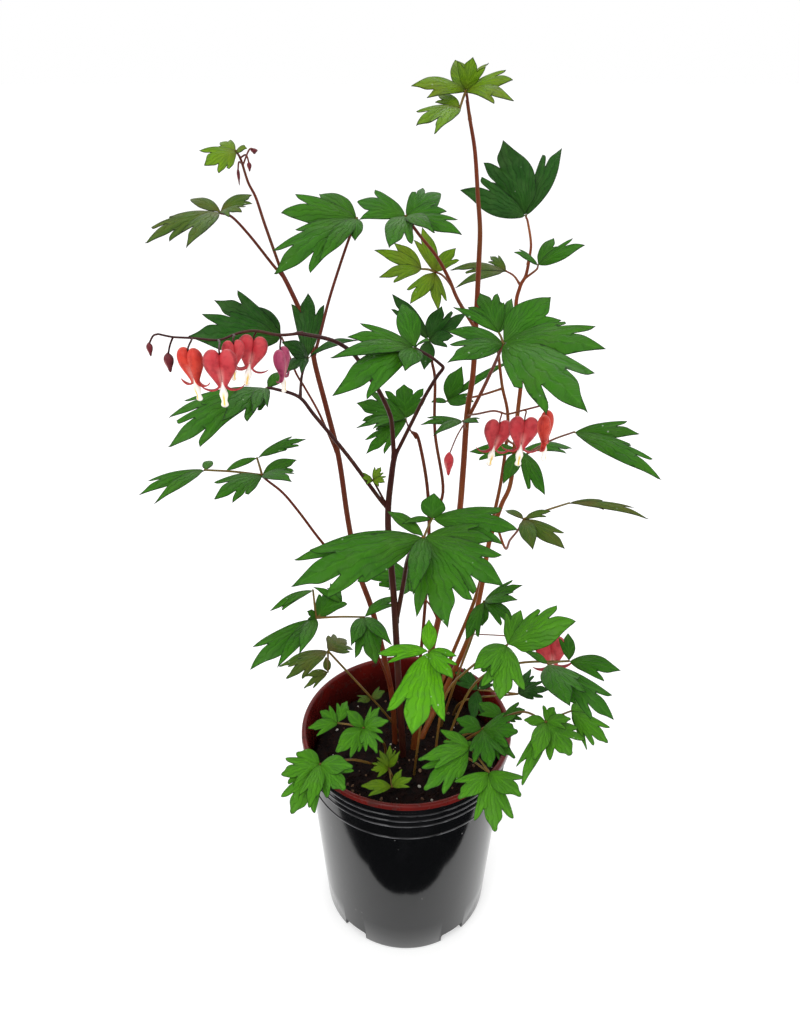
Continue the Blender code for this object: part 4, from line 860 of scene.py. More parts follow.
# Each leaf's clusters: the place of the hub, then the leaflets as (across, down, depth of the tip, width
# in millimetres, cut of the left and right side, how far it faces the eye)
leaves = {
    "leaf_crest": [
        ((466, 91, 8), [
            (411, 86, -6, 16, "lp", 0.5), (455, 60, 24, 15, "pp", 0.7), (473, 57, 4, 15, "ll", 0.8),
            (513, 80, -4, 15, "lp", 0.5), (514, 101, -18, 13, "pl", 0.5), (489, 63, 26, 5, "ss", 0.4),
        ]),
        ((460, 108, -2), [
            (416, 126, -26, 15, "ll", 0.5), (434, 134, -38, 12, "pl", 0.5), (438, 95, 10, 10, "lp", 0.5),
        ]),
    ],
    "leaf_upper_right": [
        ((526, 216, 50), [
            (503, 140, 62, 34, "tp", 0.9), (460, 190, 40, 22, "pl", 0.8), (562, 148, 76, 17, "lp", 0.85),
        ]),
    ],
    "leaf_right_shoulder": [
        ((538, 265, 34), [
            (585, 245, 22, 14, "lp", 0.6), (554, 238, 50, 12, "pl", 0.7), (514, 252, 30, 9, "pl", 0.4),
        ]),
    ],
    "leaf_curled": [
        ((506, 271, 58), [
            (450, 270, 44, 11, "lp", 0.4), (455, 288, 32, 10, "pp", 0.5), (490, 256, 72, 9, "ll", 0.5),
        ]),
    ],
    "leaf_upper_middle": [
        ((406, 216, -28), [
            (441, 194, -6, 20, "tp", 0.55), (447, 211, -24, 13, "lp", 0.5), (462, 235, -42, 15, "lp", 0.5),
            (357, 202, -16, 20, "ll", 0.55), (389, 248, -62, 20, "lp", 0.6), (435, 233, -60, 12, "pp", 0.6),
        ]),
    ],
    "leaf_upper_left": [
        ((357, 218, 20), [
            (281, 213, 12, 24, "pl", 0.6), (274, 274, -24, 26, "lt", 0.55), (319, 194, 40, 18, "pp", 0.6),
            (319, 261, -14, 14, "pp", 0.7), (355, 241, 2, 12, "pl", 0.6),
        ]),
    ],
    "leaf_young": [
        ((435, 272, 34), [
            (422, 227, 40, 14, "lp", 0.8), (456, 248, 36, 13, "pl", 0.8), (410, 304, 12, 14, "pl", 0.8),
            (438, 310, 14, 12, "lp", 0.8),
        ]),
        ((422, 269, 32), [
            (374, 250, 24, 12, "pp", 0.7), (394, 243, 36, 12, "pp", 0.7), (379, 277, 12, 12, "lp", 0.7),
        ]),
    ],
    "leaf_far_left": [
        ((220, 212, -12), [
            (145, 243, -42, 15, "lt", 0.4), (186, 248, -58, 13, "pl", 0.5), (252, 195, 2, 12, "pl", 0.4),
            (190, 200, 4, 12, "pp", 0.45), (242, 212, -26, 12, "ll", 0.4),
        ]),
    ],
    "leaf_crown_left": [
        ((236, 151, 8), [
            (204, 165, -8, 17, "tl", 0.6), (220, 143, 20, 10, "ll", 0.5), (247, 148, 4, 8, "pp", 0.5),
        ]),
    ],
    "leaf_behind_hearts": [
        ((282, 338, -2), [
            (188, 336, -16, 30, "pt", 0.75), (214, 300, 8, 24, "tl", 0.75), (244, 306, 14, 22, "lp", 0.75),
        ]),
    ],
    "leaf_fork": [
        ((308, 358, -26), [
            (308, 293, 0, 19, "ll", 0.85), (282, 342, -44, 15, "pp", 0.75), (358, 341, -52, 11, "pp", 0.45),
            (286, 373, -54, 13, "lp", 0.5),
        ]),
    ],
    "leaf_heart_height": [
        ((415, 348, -62), [
            (347, 337, -74, 18, "pl", 0.55), (332, 396, -104, 24, "lp", 0.6), (402, 303, -38, 19, "pp", 0.7),
            (405, 371, -92, 18, "pp", 0.7), (430, 341, -78, 9, "pp", 0.5), (330, 358, -94, 14, "pp", 0.5),
        ]),
    ],
    "leaf_dark_behind": [
        ((429, 340, 36), [
            (442, 306, 46, 17, "pl", 0.8), (466, 314, 52, 14, "lp", 0.7), (392, 294, 54, 14, "lp", 0.8),
            (454, 336, 26, 14, "pl", 0.7), (424, 370, 20, 15, "pp", 0.8),
        ]),
    ],
    "leaf_big_right": [
        ((503, 343, -36), [
            (606, 349, -78, 27, "tp", 0.6), (551, 297, -20, 30, "pt", 0.65),
            (588, 413, -112, 34, "lt", 0.65), (446, 331, -42, 15, "pp", 0.55),
            (447, 363, -66, 19, "pl", 0.6),
        ]),
        ((499, 333, -26), [
            (480, 293, -4, 20, "lt", 0.7), (512, 298, -6, 11, "lp", 0.7), (453, 307, -14, 9, "pp", 0.5),
        ]),
    ],
    "leaf_back_right": [
        ((447, 401, 68), [
            (462, 366, 72, 20, "pp", 0.85), (513, 360, 84, 8, "pp", 0.6), (474, 402, 52, 14, "lp", 0.6),
            (431, 402, 58, 8, "pp", 0.5),
        ]),
    ],
    "leaf_back_middle": [
        ((406, 419, 48), [
            (356, 403, 34, 24, "tl", 0.75), (404, 384, 56, 30, "tt", 0.8), (366, 454, 16, 17, "lt", 0.7),
            (356, 428, 22, 10, "lp", 0.5),
        ]),
    ],
    "leaf_node": [
        ((463, 421, -4), [
            (420, 425, -16, 9, "pl", 0.45), (479, 423, -18, 8, "lp", 0.45), (433, 436, -34, 9, "pp", 0.45),
        ]),
    ],
    "leaf_left_spread": [
        ((267, 388, -44), [
            (168, 447, -78, 22, "lt", 0.5), (222, 421, -90, 22, "tp", 0.5), (252, 413, -84, 13, "lp", 0.55),
            (169, 418, -50, 13, "ll", 0.45), (285, 372, -26, 11, "pp", 0.5),
        ]),
    ],
    "leaf_low_left": [
        ((262, 475, -34), [
            (297, 460, -30, 15, "pt", 0.5), (214, 499, -70, 19, "tl", 0.5), (292, 482, -62, 14, "tp", 0.5),
        ]),
        ((257, 458, -24), [(306, 439, -12, 10, "lt", 0.35), (225, 472, -26, 8, "pp", 0.4)]),
        ((205, 470, -46), [
            (139, 495, -70, 12, "pl", 0.4), (154, 504, -84, 10, "pp", 0.45), (211, 461, -30, 9, "pp", 0.4),
        ]),
    ],
    "leaf_shoot_tip": [
        ((373, 480, -38), [
            (362, 478, -44, 8, "ll", 0.6), (381, 467, -36, 7, "ll", 0.7), (385, 482, -46, 8, "ll", 0.6),
        ]),
    ],
    "leaf_far_right": [((574, 432, 2), [(640, 434, -12, 16, "lp", 0.55), (662, 480, -46, 18, "tp", 0.5)])],
    "leaf_under_hearts": [
        ((520, 451, 48), [
            (503, 484, 22, 16, "pp", 0.8), (545, 495, 14, 17, "pl", 0.75), (469, 452, 44, 15, "lp", 0.6),
            (572, 449, 40, 12, "pl", 0.5),
        ]),
    ],
    "leaf_right_low": [
        ((524, 519, -14), [
            (533, 550, -46, 16, "pp", 0.75), (565, 549, -42, 16, "lp", 0.65), (505, 511, 6, 8, "pp", 0.35),
            (551, 511, -14, 8, "pl", 0.35),
        ]),
        ((569, 503, 4), [(649, 519, -14, 10, "lp", 0.3), (612, 507, 2, 9, "ll", 0.3)]),
    ],
    "leaf_centre": [
        ((424, 537, -70), [
            (291, 587, -104, 34, "tl", 0.5), (294, 560, -84, 20, "lp", 0.5), (413, 595, -124, 18, "pp", 0.7),
            (448, 628, -128, 34, "lt", 0.7), (504, 587, -112, 30, "lt", 0.6), (494, 540, -76, 20, "lp", 0.5),
            (387, 511, -48, 12, "pp", 0.5),
        ]),
        ((432, 519, -54), [
            (434, 493, -44, 22, "pp", 0.8), (518, 530, -62, 26, "lt", 0.5), (402, 524, -66, 7, "pp", 0.4),
        ]),
    ],
    "leaf_low_middle": [
        ((414, 585, 12), [
            (362, 560, 16, 26, "tp", 0.6), (388, 590, -8, 16, "lt", 0.5), (412, 560, 30, 14, "pp", 0.6),
        ]),
    ],
    "leaf_low_outer": [
        ((316, 618, -40), [
            (250, 670, -74, 22, "pl", 0.5), (277, 668, -88, 14, "pp", 0.55), (299, 655, -86, 14, "pp", 0.6),
            (307, 611, -44, 10, "lp", 0.5), (341, 591, -16, 20, "tl", 0.5),
        ]),
        ((342, 603, -26), [(313, 587, -24, 8, "pp", 0.4), (330, 583, -12, 8, "ll", 0.4)]),
        ((313, 590, -34), [(270, 611, -50, 9, "lp", 0.4), (281, 608, -58, 7, "pp", 0.4)]),
        ((364, 617, -34), [
            (351, 646, -66, 15, "pp", 0.75), (376, 664, -80, 24, "pl", 0.75), (392, 645, -68, 13, "pp", 0.7),
            (395, 597, -14, 12, "pl", 0.5),
        ]),
    ],
}

# Leaves that stand in the soil end with their own stalk: its foot, then its way up
footLeaves = {
    "leaf_bright": [
        ((429, 651, -88), [
            (429, 619, -74, 14, "pp", 0.75), (376, 654, -92, 13, "lp", 0.55),
            (453, 679, -112, 15, "lp", 0.7), (412, 735, -134, 34, "ll", 0.85), (457, 656, -94, 9, "pp", 0.5),
        ]),
        [(414, 775), (420, 730, -40), (424, 700, -58)],
    ],
    "leaf_right_front": [
        ((507, 645, -78), [
            (473, 670, -98, 20, "lp", 0.7), (500, 700, -116, 28, "lt", 0.8), (576, 621, -84, 30, "tp", 0.6),
            (521, 610, -56, 17, "lp", 0.6),
        ]),
        [(434, 768), (444, 700, -38), (470, 668, -56)],
    ],
    "leaf_right_reach": [
        ((569, 661, -50), [(621, 671, -74, 19, "pl", 0.6), (568, 633, -34, 13, "lp", 0.7)]),
        ((548, 664, -62), [
            (614, 720, -104, 22, "lt", 0.6), (570, 706, -110, 28, "tp", 0.7), (524, 651, -64, 8, "pp", 0.5),
        ]),
        [(440, 762), (470, 690, -30), (510, 665, -46)],
    ],
    "leaf_right_back": [
        ((484, 601, 6), [
            (523, 585, 0, 13, "lp", 0.5), (518, 600, -14, 13, "lp", 0.5), (516, 624, -22, 16, "pl", 0.6),
            (466, 640, -4, 15, "lp", 0.6), (482, 626, 8, 13, "pp", 0.6),
        ]),
        [(441, 727), (456, 680, 8), (471, 640, 4)],
    ],
    "leaf_rim_right": [
        ((489, 772, -84), [
            (458, 799, -104, 20, "pl", 0.75), (521, 796, -106, 22, "lp", 0.75),
            (495, 832, -120, 26, "ll", 0.8),
        ]),
        ((470, 748, -66), [
            (465, 742, -62, 12, "pp", 0.6), (440, 730, -62, 13, "lp", 0.6), (418, 760, -86, 17, "lp", 0.7),
            (424, 790, -98, 24, "tl", 0.75),
        ]),
        [(446, 775), (462, 757, -54)],
    ],
    "leaf_rim_far_right": [
        ((546, 722, -66), [
            (554, 707, -58, 14, "lp", 0.7), (571, 719, -72, 13, "pl", 0.6), (571, 755, -94, 30, "tt", 0.75),
            (534, 760, -98, 18, "pp", 0.8), (522, 785, -112, 15, "pl", 0.75), (524, 720, -60, 12, "pp", 0.5),
        ]),
        ((571, 711, -56), [
            (608, 743, -82, 18, "lt", 0.65), (587, 704, -48, 13, "ll", 0.5), (587, 750, -84, 7, "pp", 0.5),
        ]),
        [(450, 752), (482, 730, -30), (520, 712, -46)],
    ],
    "leaf_pot_right": [
        ((482, 729, -50), [
            (456, 719, -48, 18, "lp", 0.65), (518, 732, -66, 26, "tt", 0.7), (490, 767, -86, 24, "lt", 0.75),
            (515, 758, -74, 17, "pl", 0.7),
        ]),
        ((503, 717, -34), [(525, 710, -40, 14, "lt", 0.6), (478, 703, -26, 16, "lp", 0.6)]),
        [(448, 745), (462, 736, -34)],
    ],
    "leaf_pot_back": [
        ((518, 694, 0), [
            (549, 689, -12, 14, "lt", 0.6), (537, 682, 6, 12, "lp", 0.6), (531, 669, 16, 10, "pl", 0.6),
        ]),
        ((478, 690, 10), [
            (455, 672, 16, 16, "lt", 0.6), (472, 720, -10, 16, "lp", 0.7), (494, 676, 16, 12, "ll", 0.6),
        ]),
        [(453, 716), (466, 700, 14)],
    ],
    "leaf_rim_left": [
        ((320, 764, -78), [
            (296, 753, -76, 19, "lp", 0.65), (281, 775, -92, 20, "ll", 0.7),
            (291, 814, -112, 26, "lt", 0.75), (309, 808, -114, 17, "pl", 0.75),
            (353, 767, -88, 20, "pp", 0.65), (345, 790, -104, 26, "lt", 0.75),
        ]),
        [(386, 772), (356, 760, -58)],
    ],
    "leaf_pot_left": [
        ((364, 728, -44), [
            (346, 710, -36, 14, "pp", 0.7), (389, 721, -54, 15, "pl", 0.65), (380, 707, -36, 11, "lp", 0.6),
            (377, 753, -74, 15, "lt", 0.75), (336, 752, -66, 22, "tp", 0.7),
        ]),
        ((338, 723, -36), [
            (308, 728, -46, 14, "lp", 0.6), (320, 711, -30, 15, "ll", 0.65), (347, 701, -18, 13, "lp", 0.6),
        ]),
        [(386, 757), (384, 744, -26), (374, 736, -36)],
    ],
    "leaf_pot_rear": [
        ((328, 651, -6), [
            (286, 679, -38, 15, "lt", 0.5), (279, 667, -26, 12, "lp", 0.5), (346, 640, 18, 22, "tt", 0.6),
        ]),
        ((328, 672, 2), [
            (326, 657, 12, 9, "pp", 0.6), (305, 676, -8, 9, "pp", 0.6), (304, 688, -16, 9, "lp", 0.6),
        ]),
        ((371, 698, 6), [(357, 702, -4, 10, "pl", 0.6), (385, 691, 8, 11, "lp", 0.6)]),
        [(398, 734), (384, 712, 10)],
    ],
    "leaf_seedling": [
        ((389, 768, -44), [
            (390, 745, -34, 9, "pl", 0.8), (400, 751, -44, 8, "pp", 0.8), (371, 770, -52, 12, "lt", 0.6),
            (379, 750, -38, 9, "lp", 0.8),
        ]),
        ((392, 787, -58), [
            (361, 786, -66, 14, "lp", 0.7), (412, 778, -58, 11, "pl", 0.6), (402, 769, -46, 8, "pp", 0.7),
        ]),
        [(396, 782), (392, 776, -48)],
    ],
}

# Leaves. Half outlines, from the stalk to the tip: how far along, how far out, and 1 at a point or
# 2 at a notch
leafShape = {
    "outlines": {
        "p": ((0.07, 0.22, 0), (0.22, 0.54, 0), (0.42, 0.68, 0), (0.64, 0.60, 0), (0.84, 0.28, 0)),
        "l": (
            (0.07, 0.22, 0), (0.24, 0.54, 0), (0.48, 0.78, 0), (0.66, 0.94, 0), (0.79, 1.00, 1),
            (0.75, 0.72, 0), (0.64, 0.44, 2), (0.78, 0.42, 0), (0.90, 0.20, 0),
        ),
        "t": (
            (0.07, 0.22, 0), (0.20, 0.54, 0), (0.36, 0.82, 0), (0.54, 0.98, 1), (0.57, 0.84, 0),
            (0.53, 0.70, 2), (0.66, 0.84, 0), (0.83, 0.90, 1), (0.79, 0.64, 0), (0.68, 0.40, 2),
            (0.80, 0.38, 0), (0.91, 0.18, 0),
        ),
        "s": ((0.14, 0.30, 0), (0.40, 0.72, 0), (0.62, 0.66, 0), (0.84, 0.26, 0)),
    },
    # side ribs of each cut: where they leave the middle rib, and where they end
    "ribs": {
        "p": ((0.16, 0.50, 0.50),),
        "l": ((0.24, 0.76, 0.90), (0.10, 0.34, 0.50)),
        "t": ((0.18, 0.52, 0.90), (0.40, 0.80, 0.80)),
        "s": (),
    },
    "steps": 4,
    "cells": 20,
    "leastCell": 0.9 * mm,
    "thick": 0.36 * mm,
    "ribHalf": 0.55 * mm,
    "ribDeep": 0.34 * mm,
    "rimWidth": 0.45 * mm,
    "arch": 0.10,
    "fold": 0.25,
    "foldSoft": 1.2 * mm,
    "ripple": 0.030,
    "curl": (-0.03, 0.05),
    "unsteady": 0.022,
    # a leaflet's own stalk, as a share of its length, and the radii of the three kinds of stalk
    "stalk": 0.018,
    "leafletStalk": (0.75 * mm, 0.45 * mm),
    "clusterStalk": (0.8 * mm, 0.65 * mm),
    "footStalk": (1.2 * mm, 0.75 * mm),
    # the small leaves low down have round lobes
    "blunt": ("leaf_rim_right", "leaf_rim_far_right", "leaf_rim_left", "leaf_pot_right", "leaf_pot_left",
              "leaf_pot_back", "leaf_pot_rear", "leaf_seedling"),
    # how far a leaflet's tip may stand in front of or behind its written depth, in millimetres
    "swings": (0, 5, -5, 10, -10, 15, -15, 20, -20, 26, -26, 34, -34, 44, -44, 56, -56),
}


# one half of a leaflet's outline, smooth between its points and notches
def halfOutline(cut, chance, blunt):
    keys = [(Vector((0.0, 0.0)), 1)]
    for along, out, sharp in leafShape["outlines"][cut]:
        shake = Vector((chance.uniform(-1, 1), chance.uniform(-1, 1))) * leafShape["unsteady"]
        keys.append((Vector((along, out)) + shake, sharp == 2 or (sharp == 1 and not blunt)))
    if blunt:
        keys.append((Vector((0.97, 0.12)), False))
    keys.append((Vector((1.0, 0.0)), 1))
    found = []
    run = []
    for spot, sharp in keys:
        run.append(spot)
        if sharp and len(run) > 1:
            found += smoothRun(run, leafShape["steps"])[:-1]
            run = [spot]
    return found


def insideOutline(points, outline):
    x, y = points[:, 0, None], points[:, 1, None]
    ax, ay = outline[:, 0], outline[:, 1]
    bx, by = np.roll(ax, -1), np.roll(ay, -1)
    crosses = (ay > y) != (by > y)
    span = np.where(by == ay, 1e-12, by - ay)
    return (crosses & (x < (bx - ax) * (y - ay) / span + ax)).sum(1) % 2 == 1


def lineDistance(points, starts, ends):
    way = ends - starts
    share = ((points[:, None] - starts) * way).sum(2) / np.maximum((way ** 2).sum(1), 1e-12)
    near = starts + way * np.clip(share, 0, 1)[..., None]
    return np.linalg.norm(points[:, None] - near, axis=2).min(1)


# the leaflet's ribs in its own plane, as starts and ends of short lines
def ribLines(length, half, cuts):
    lines = [((0.0, 0.0), (0.93, 0.0))]
    for side, cut in ((1, cuts[0]), (-1, cuts[1])):
        for leave, reach, out in leafShape["ribs"][cut]:
            bend = ((leave * 0.45 + reach * 0.55), out * 0.42 * side)
            lines.append(((leave, 0.0), bend))
            lines.append((bend, (reach, out * side)))
    scale = np.array((length, half))
    return np.array([a for a, _ in lines]) * scale, np.array([b for _, b in lines]) * scale


# a leaflet's whole outline in its own plane, from the stalk round by the tip
def bladeOutline(length, half, cuts, chance, blunt):
    left = halfOutline(cuts[1], chance, blunt)
    right = halfOutline(cuts[0], chance, blunt)
    outline = [Vector((p.x * length, -p.y * half)) for p in left]
    outline.append(Vector((length, 0.0)))
    return outline + [Vector((p.x * length, p.y * half)) for p in reversed(right[1:])]


# points inside the outline: a row along the rim, three along each rib, and a grid between them
def bladeFill(rim, starts, ends, length, half):
    cell = max(length / leafShape["cells"], leafShape["leastCell"])
    gridX, gridY = np.meshgrid(np.arange(cell / 2, length, cell), np.arange(-half, half, cell))
    inner = np.stack((gridX.ravel(), gridY.ravel()), 1)
    inner = inner[lineDistance(inner, starts, ends) > leafShape["ribHalf"] * 1.6]
    ribs = []
    for start, end in zip(starts, ends):
        way = end - start
        count = max(2, int(np.linalg.norm(way) / (cell * 0.8)))
        out = np.array((-way[1], way[0])) / max(np.linalg.norm(way), 1e-9)
        for offset in (0.0, leafShape["ribHalf"], -leafShape["ribHalf"]):
            ribs.append(start + np.linspace(0, 1, count)[:, None] * way + out * offset)
    ahead = np.roll(rim, -1, 0) - np.roll(rim, 1, 0)
    steady = np.maximum(np.linalg.norm(ahead, axis=1), 1e-9)[:, None]
    nearRim = rim + np.stack((-ahead[:, 1], ahead[:, 0]), 1) / steady * leafShape["rimWidth"]
    gathered = np.concatenate((nearRim, *ribs, inner))
    least = np.full(len(gathered), leafShape["rimWidth"] * 1.6)
    least[: len(nearRim)] = leafShape["rimWidth"] * 0.8
    gap = lineDistance(gathered, rim, np.roll(rim, -1, 0))
    return gathered[insideOutline(gathered, rim) & (gap > least)]


# how high each point stands over the leaflet's plane: arch, fold, sunk ribs, ripples and a curled tip
def bladeRise(plane, fromRib, length, half, chance):
    part = plane[:, 0] / length
    out = np.abs(plane[:, 1])
    soft = leafShape["foldSoft"]
    rise = leafShape["arch"] * length * 4 * part * (1 - part)
    rise -= leafShape["fold"] * (np.sqrt(out ** 2 + soft ** 2) - soft) * (1 - 0.3 * part)
    rise -= leafShape["ribDeep"] * np.exp(-(fromRib / leafShape["ribHalf"]) ** 2)
    phase = [chance.uniform(0, 2 * math.pi) for _ in range(4)]
    ripple = leafShape["ripple"] * half * (out / half)
    rise += ripple * np.sin(part * 9 + phase[0]) * np.sin(plane[:, 1] / half * 3 + phase[1])
    curl = chance.uniform(*leafShape["curl"]) * length
    rise -= curl * np.clip(part - 0.7, 0, 1) ** 2 * 6
    rise[part > 0.999] = 0.0
    return rise


# faces of a closed blade: its top, the same turned over below, and a wall round the edge
def bladeFaces(flat, triangles):
    area = sum((flat[a] - flat[c]).cross(flat[b] - flat[c]) for a, b, c in triangles[:5])
    if area < 0:
        triangles = [tuple(reversed(t)) for t in triangles]
    shift = len(flat)
    faces = [tuple(t) for t in triangles]
    faces += [(c + shift, b + shift, a + shift) for a, b, c in triangles]
    edges = dict.fromkeys(pair for a, b, c in triangles for pair in ((a, b), (b, c), (c, a)))
    for start, end in edges:
        if (end, start) not in edges:
            faces.append((end, start, start + shift, end + shift))
    return faces


# adds one leaflet to the blades, with the marks that its colours follow
def growLeaflet(blades, base, tip, width, cuts, face, chance, blunt):
    along = tip - base
    length = along.length
    along.normalize()
    towardEye = (view["eye"] - base).normalized()
    up = Vector((0.0, 0.0, 1.0)) * (1 - face) + towardEye * face
    normal = (up - along * up.dot(along)).normalized()
    across = along.cross(normal)
    half = width / 2
    outline = bladeOutline(length, half, cuts, chance, blunt)
    rim = np.array(outline)
    starts, ends = ribLines(length, half, cuts)
    spots = outline + [Vector(p) for p in bladeFill(rim, starts, ends, length, half)]
    borders = [(i, (i + 1) % len(outline)) for i in range(len(outline))]
    flat, _, triangles, *_ = delaunay_2d_cdt(spots, borders, [], 1, 1e-7)
    plane = np.array(flat)
    fromRib = lineDistance(plane, starts, ends)
    rise = bladeRise(plane, fromRib, length, half, chance)
    middle = [base + along * u - across * v + normal * w for (u, v), w in zip(plane, rise)]
    drop = normal * (leafShape["thick"] / 2)
    first = len(blades["points"])
    blades["points"] += [p + drop for p in middle] + [p - drop for p in middle]
    blades["faces"] += [tuple(i + first for i in corners) for corners in bladeFaces(flat, triangles)]
    onRim = (lineDistance(plane, rim, np.roll(rim, -1, 0)) < 1e-6).astype(float)
    shade = chance.uniform(0, 1)
    for under in (0.0, 1.0):
        blades["under"] += [under] * len(plane)
        blades["rim"] += list(onRim)
        blades["shade"] += [shade] * len(plane)
        blades["rib"] += list(np.exp(-(fromRib / (leafShape["ribHalf"] * 0.8)) ** 2))
        blades["plan"] += [(u / length, v / length + 0.5) for u, v in plane]


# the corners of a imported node
def nodePoints(name):
    mesh = frame["nodes"][name].data
    found = np.zeros(len(mesh.vertices) * 3)
    mesh.vertices.foreach_get("co", found)
    return found.reshape(-1, 3)


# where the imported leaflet's tip stands, after it was swung clear of its neighbours
def settledTip(corners, spot):
    across, down, depth = spot[:3]
    best = None
    for swing in leafShape["swings"]:
        tip = place(across, down, depth + swing)
        miss = np.linalg.norm(corners - np.array(tip), axis=1).min()
        if best is None or miss < best[0] - 1e-5:
            best = (miss, tip)
    return best[1]


# Leaf colours: the upper side, its darker clouds, the underside, and how much red tinges it
leafColours = {
    "mid": ((0.030, 0.142, 0.003), (0.016, 0.086, 0.003), (0.12, 0.20, 0.06), 0.04),
    "dark": ((0.012, 0.074, 0.004), (0.007, 0.040, 0.003), (0.07, 0.13, 0.04), 0.03),
    "fresh": ((0.062, 0.225, 0.006), (0.034, 0.145, 0.005), (0.18, 0.29, 0.09), 0.02),
    "bright": ((0.090, 0.320, 0.003), (0.052, 0.230, 0.003), (0.20, 0.35, 0.07), 0.0),
    "young": ((0.120, 0.245, 0.004), (0.072, 0.150, 0.004), (0.17, 0.24, 0.04), 0.20),
    "aged": ((0.052, 0.122, 0.008), (0.040, 0.072, 0.008), (0.15, 0.16, 0.08), 0.28),
}
# all other leaves are "mid"
leavesByColour = {
    "dark": ("leaf_upper_right", "leaf_behind_hearts", "leaf_dark_behind", "leaf_fork", "leaf_pot_back"),
    "fresh": ("leaf_rim_right", "leaf_rim_far_right", "leaf_rim_left", "leaf_pot_left", "leaf_right_front"),
    "bright": ("leaf_bright",),
    "young": ("leaf_crest", "leaf_crown_left", "leaf_young", "leaf_shoot_tip", "leaf_seedling"),
    "aged": ("leaf_far_left", "leaf_right_low", "leaf_pot_rear", "leaf_curled"),
}


def leafPaint(name, topColour, deepColour, underColour, tinge):
    paint = Paint(name, 0.46, shine=0.12)
    plan = paint.node("UVMap", {"uv_map": "plan"})
    split = paint.node("SeparateXYZ", None, {"Vector": plan})
    along = split.other("X")
    out = split.other("Y") - 0.5
    cloud = paint.noise(55.0, 3.0)
    grain = paint.noise(900.0, 2.0)
    wander = paint.noise(7.0, 2.0, where=plan)
    rib = paint.attribute("rib")
    under = paint.attribute("under")
    # fine side veins that lean towards the tip
    lean = along * 17.0 - out.sum("ABSOLUTE") * 16.0 + wander * 2.2
    veins = (lean.sum("FRACT") - 0.5).sum("ABSOLUTE").ramp(0.07, 0.0)
    # furrows that fan out from the stalk, darkened with painted shade, and dull patches
    fan = (out / (along * 0.9 + 0.12)) * 9.0 + wander * 1.5
    furrowsAndShade = (fan.sum("FRACT") - 0.5).sum("ABSOLUTE").ramp(0.16, 0.0)
    patches = paint.noise(170.0, 4.0).ramp(0.46, 0.64)
    cloudy = cloud * 1.5 - 0.45 + paint.attribute("shade") * 0.35
    paler = [min(1.0, c * 1.6 + 0.008) for c in topColour]
    top = paint.mix(topColour, deepColour, cloudy.ramp(0.0, 1.0))
    # painted shade: the furrows are darkened
    top = paint.mix(top, [c * 0.45 for c in deepColour], furrowsAndShade * 0.34)
    top = paint.mix(top, (0.052, 0.120, 0.030), patches * 0.22)
    top = paint.mix(top, paler, (veins * 0.16 + rib * 0.34).ramp(0.0, 1.0))
    # red, above all near the stalk and on the ribs
    flush = paint.noise(38.0, 2.0).ramp(0.45, 0.75) + rib * 0.4 + (0.35 - along).ramp(0.0, 0.35)
    top = paint.mix(top, (0.16, 0.035, 0.020), (flush * tinge).ramp(0.0, 1.0))
    below = paint.mix(underColour, paler, veins * 0.5 + rib * 0.5)
    blade = paint.mix(top, below, under)
    blade = paint.mix(blade, [c * 0.18 for c in deepColour], paint.attribute("rim") * 0.95)
    # dust and water marks: few small pale dots
    dots = paint.node("TexVoronoi", None, {"Vector": paint.node("TexCoord", output=3), "Scale": 190.0})
    specks = dots.ramp(0.14, 0.06) * paint.noise(40.0, 1.0).ramp(0.58, 0.66)
    paint.feed("Base Color", paint.mix(blade, (0.55, 0.62, 0.50), specks * 0.5))
    paint.feed("Roughness", 0.40 + cloud * 0.10 + under * 0.18)
    paint.bump(grain * 0.15 + veins * -0.3 + furrowsAndShade * -0.9 + cloud * 0.8, 0.00050, 0.7)
    return paint.material


def makeLeaves():
    paints = {key: leafPaint("leaf " + key, *colours) for key, colours in leafColours.items()}
    colourOf = {leaf: colour for colour, group in leavesByColour.items() for leaf in group}
    stalkRoutes = []
    count = 0
    for name, parts in {**leaves, **footLeaves}.items():
        chance = random.Random(name)
        clusters = parts[:-1] if name in footLeaves else parts
        hubs = [place(*hub) for hub, _ in clusters]
        corners = nodePoints(name)
        blunt = name in leafShape["blunt"]
        blades = {key: [] for key in ("points", "faces", "under", "rim", "shade", "rib", "plan")}
        if name in footLeaves:
            foot = onSoil(*parts[-1][0])
            route = [foot - Vector((0, 0, soil["footDepth"])), foot]
            route += [place(*spot) for spot in parts[-1][1:]] + [hubs[0]]
            stalkRoutes.append((route, *leafShape["footStalk"], 0.0, 0.8))
        for hub in hubs[1:]:
            route = [hubs[0], hubs[0].lerp(hub, 0.5) + Vector((0, 0, 0.0006)), hub]
            stalkRoutes.append((route, *leafShape["clusterStalk"], 0.6, 0.9))
        for hub, (_, leaflets) in zip(hubs, clusters):
            for spot in leaflets:
                tip = settledTip(corners, spot)
                base = hub.lerp(tip, leafShape["stalk"])
                route = [hub, hub.lerp(tip, leafShape["stalk"] / 2), base]
                stalkRoutes.append((route, *leafShape["leafletStalk"], 0.7, 1.0))
                growLeaflet(blades, base, tip, spot[3] * mm, spot[4], spot[5], chance, blunt)
                count += 1
        marks = {key: blades[key] for key in ("under", "rim", "shade", "rib")}
        paint = paints[colourOf.get(name, "mid")]
        points, faces = blades["points"], blades["faces"]
        piece = meshPiece(name + "_blades", points, faces, [paint], marks, blades["plan"])
        smoothFaces(piece, 50)
        enter(piece, name)
    skin = stemPaint("stalk skin", stemColours["stalks"])
    enter(growTubes("leaf_stalks", stalkRoutes, stemSettings["stalkSides"], skin))
    print("leaflets:", count)


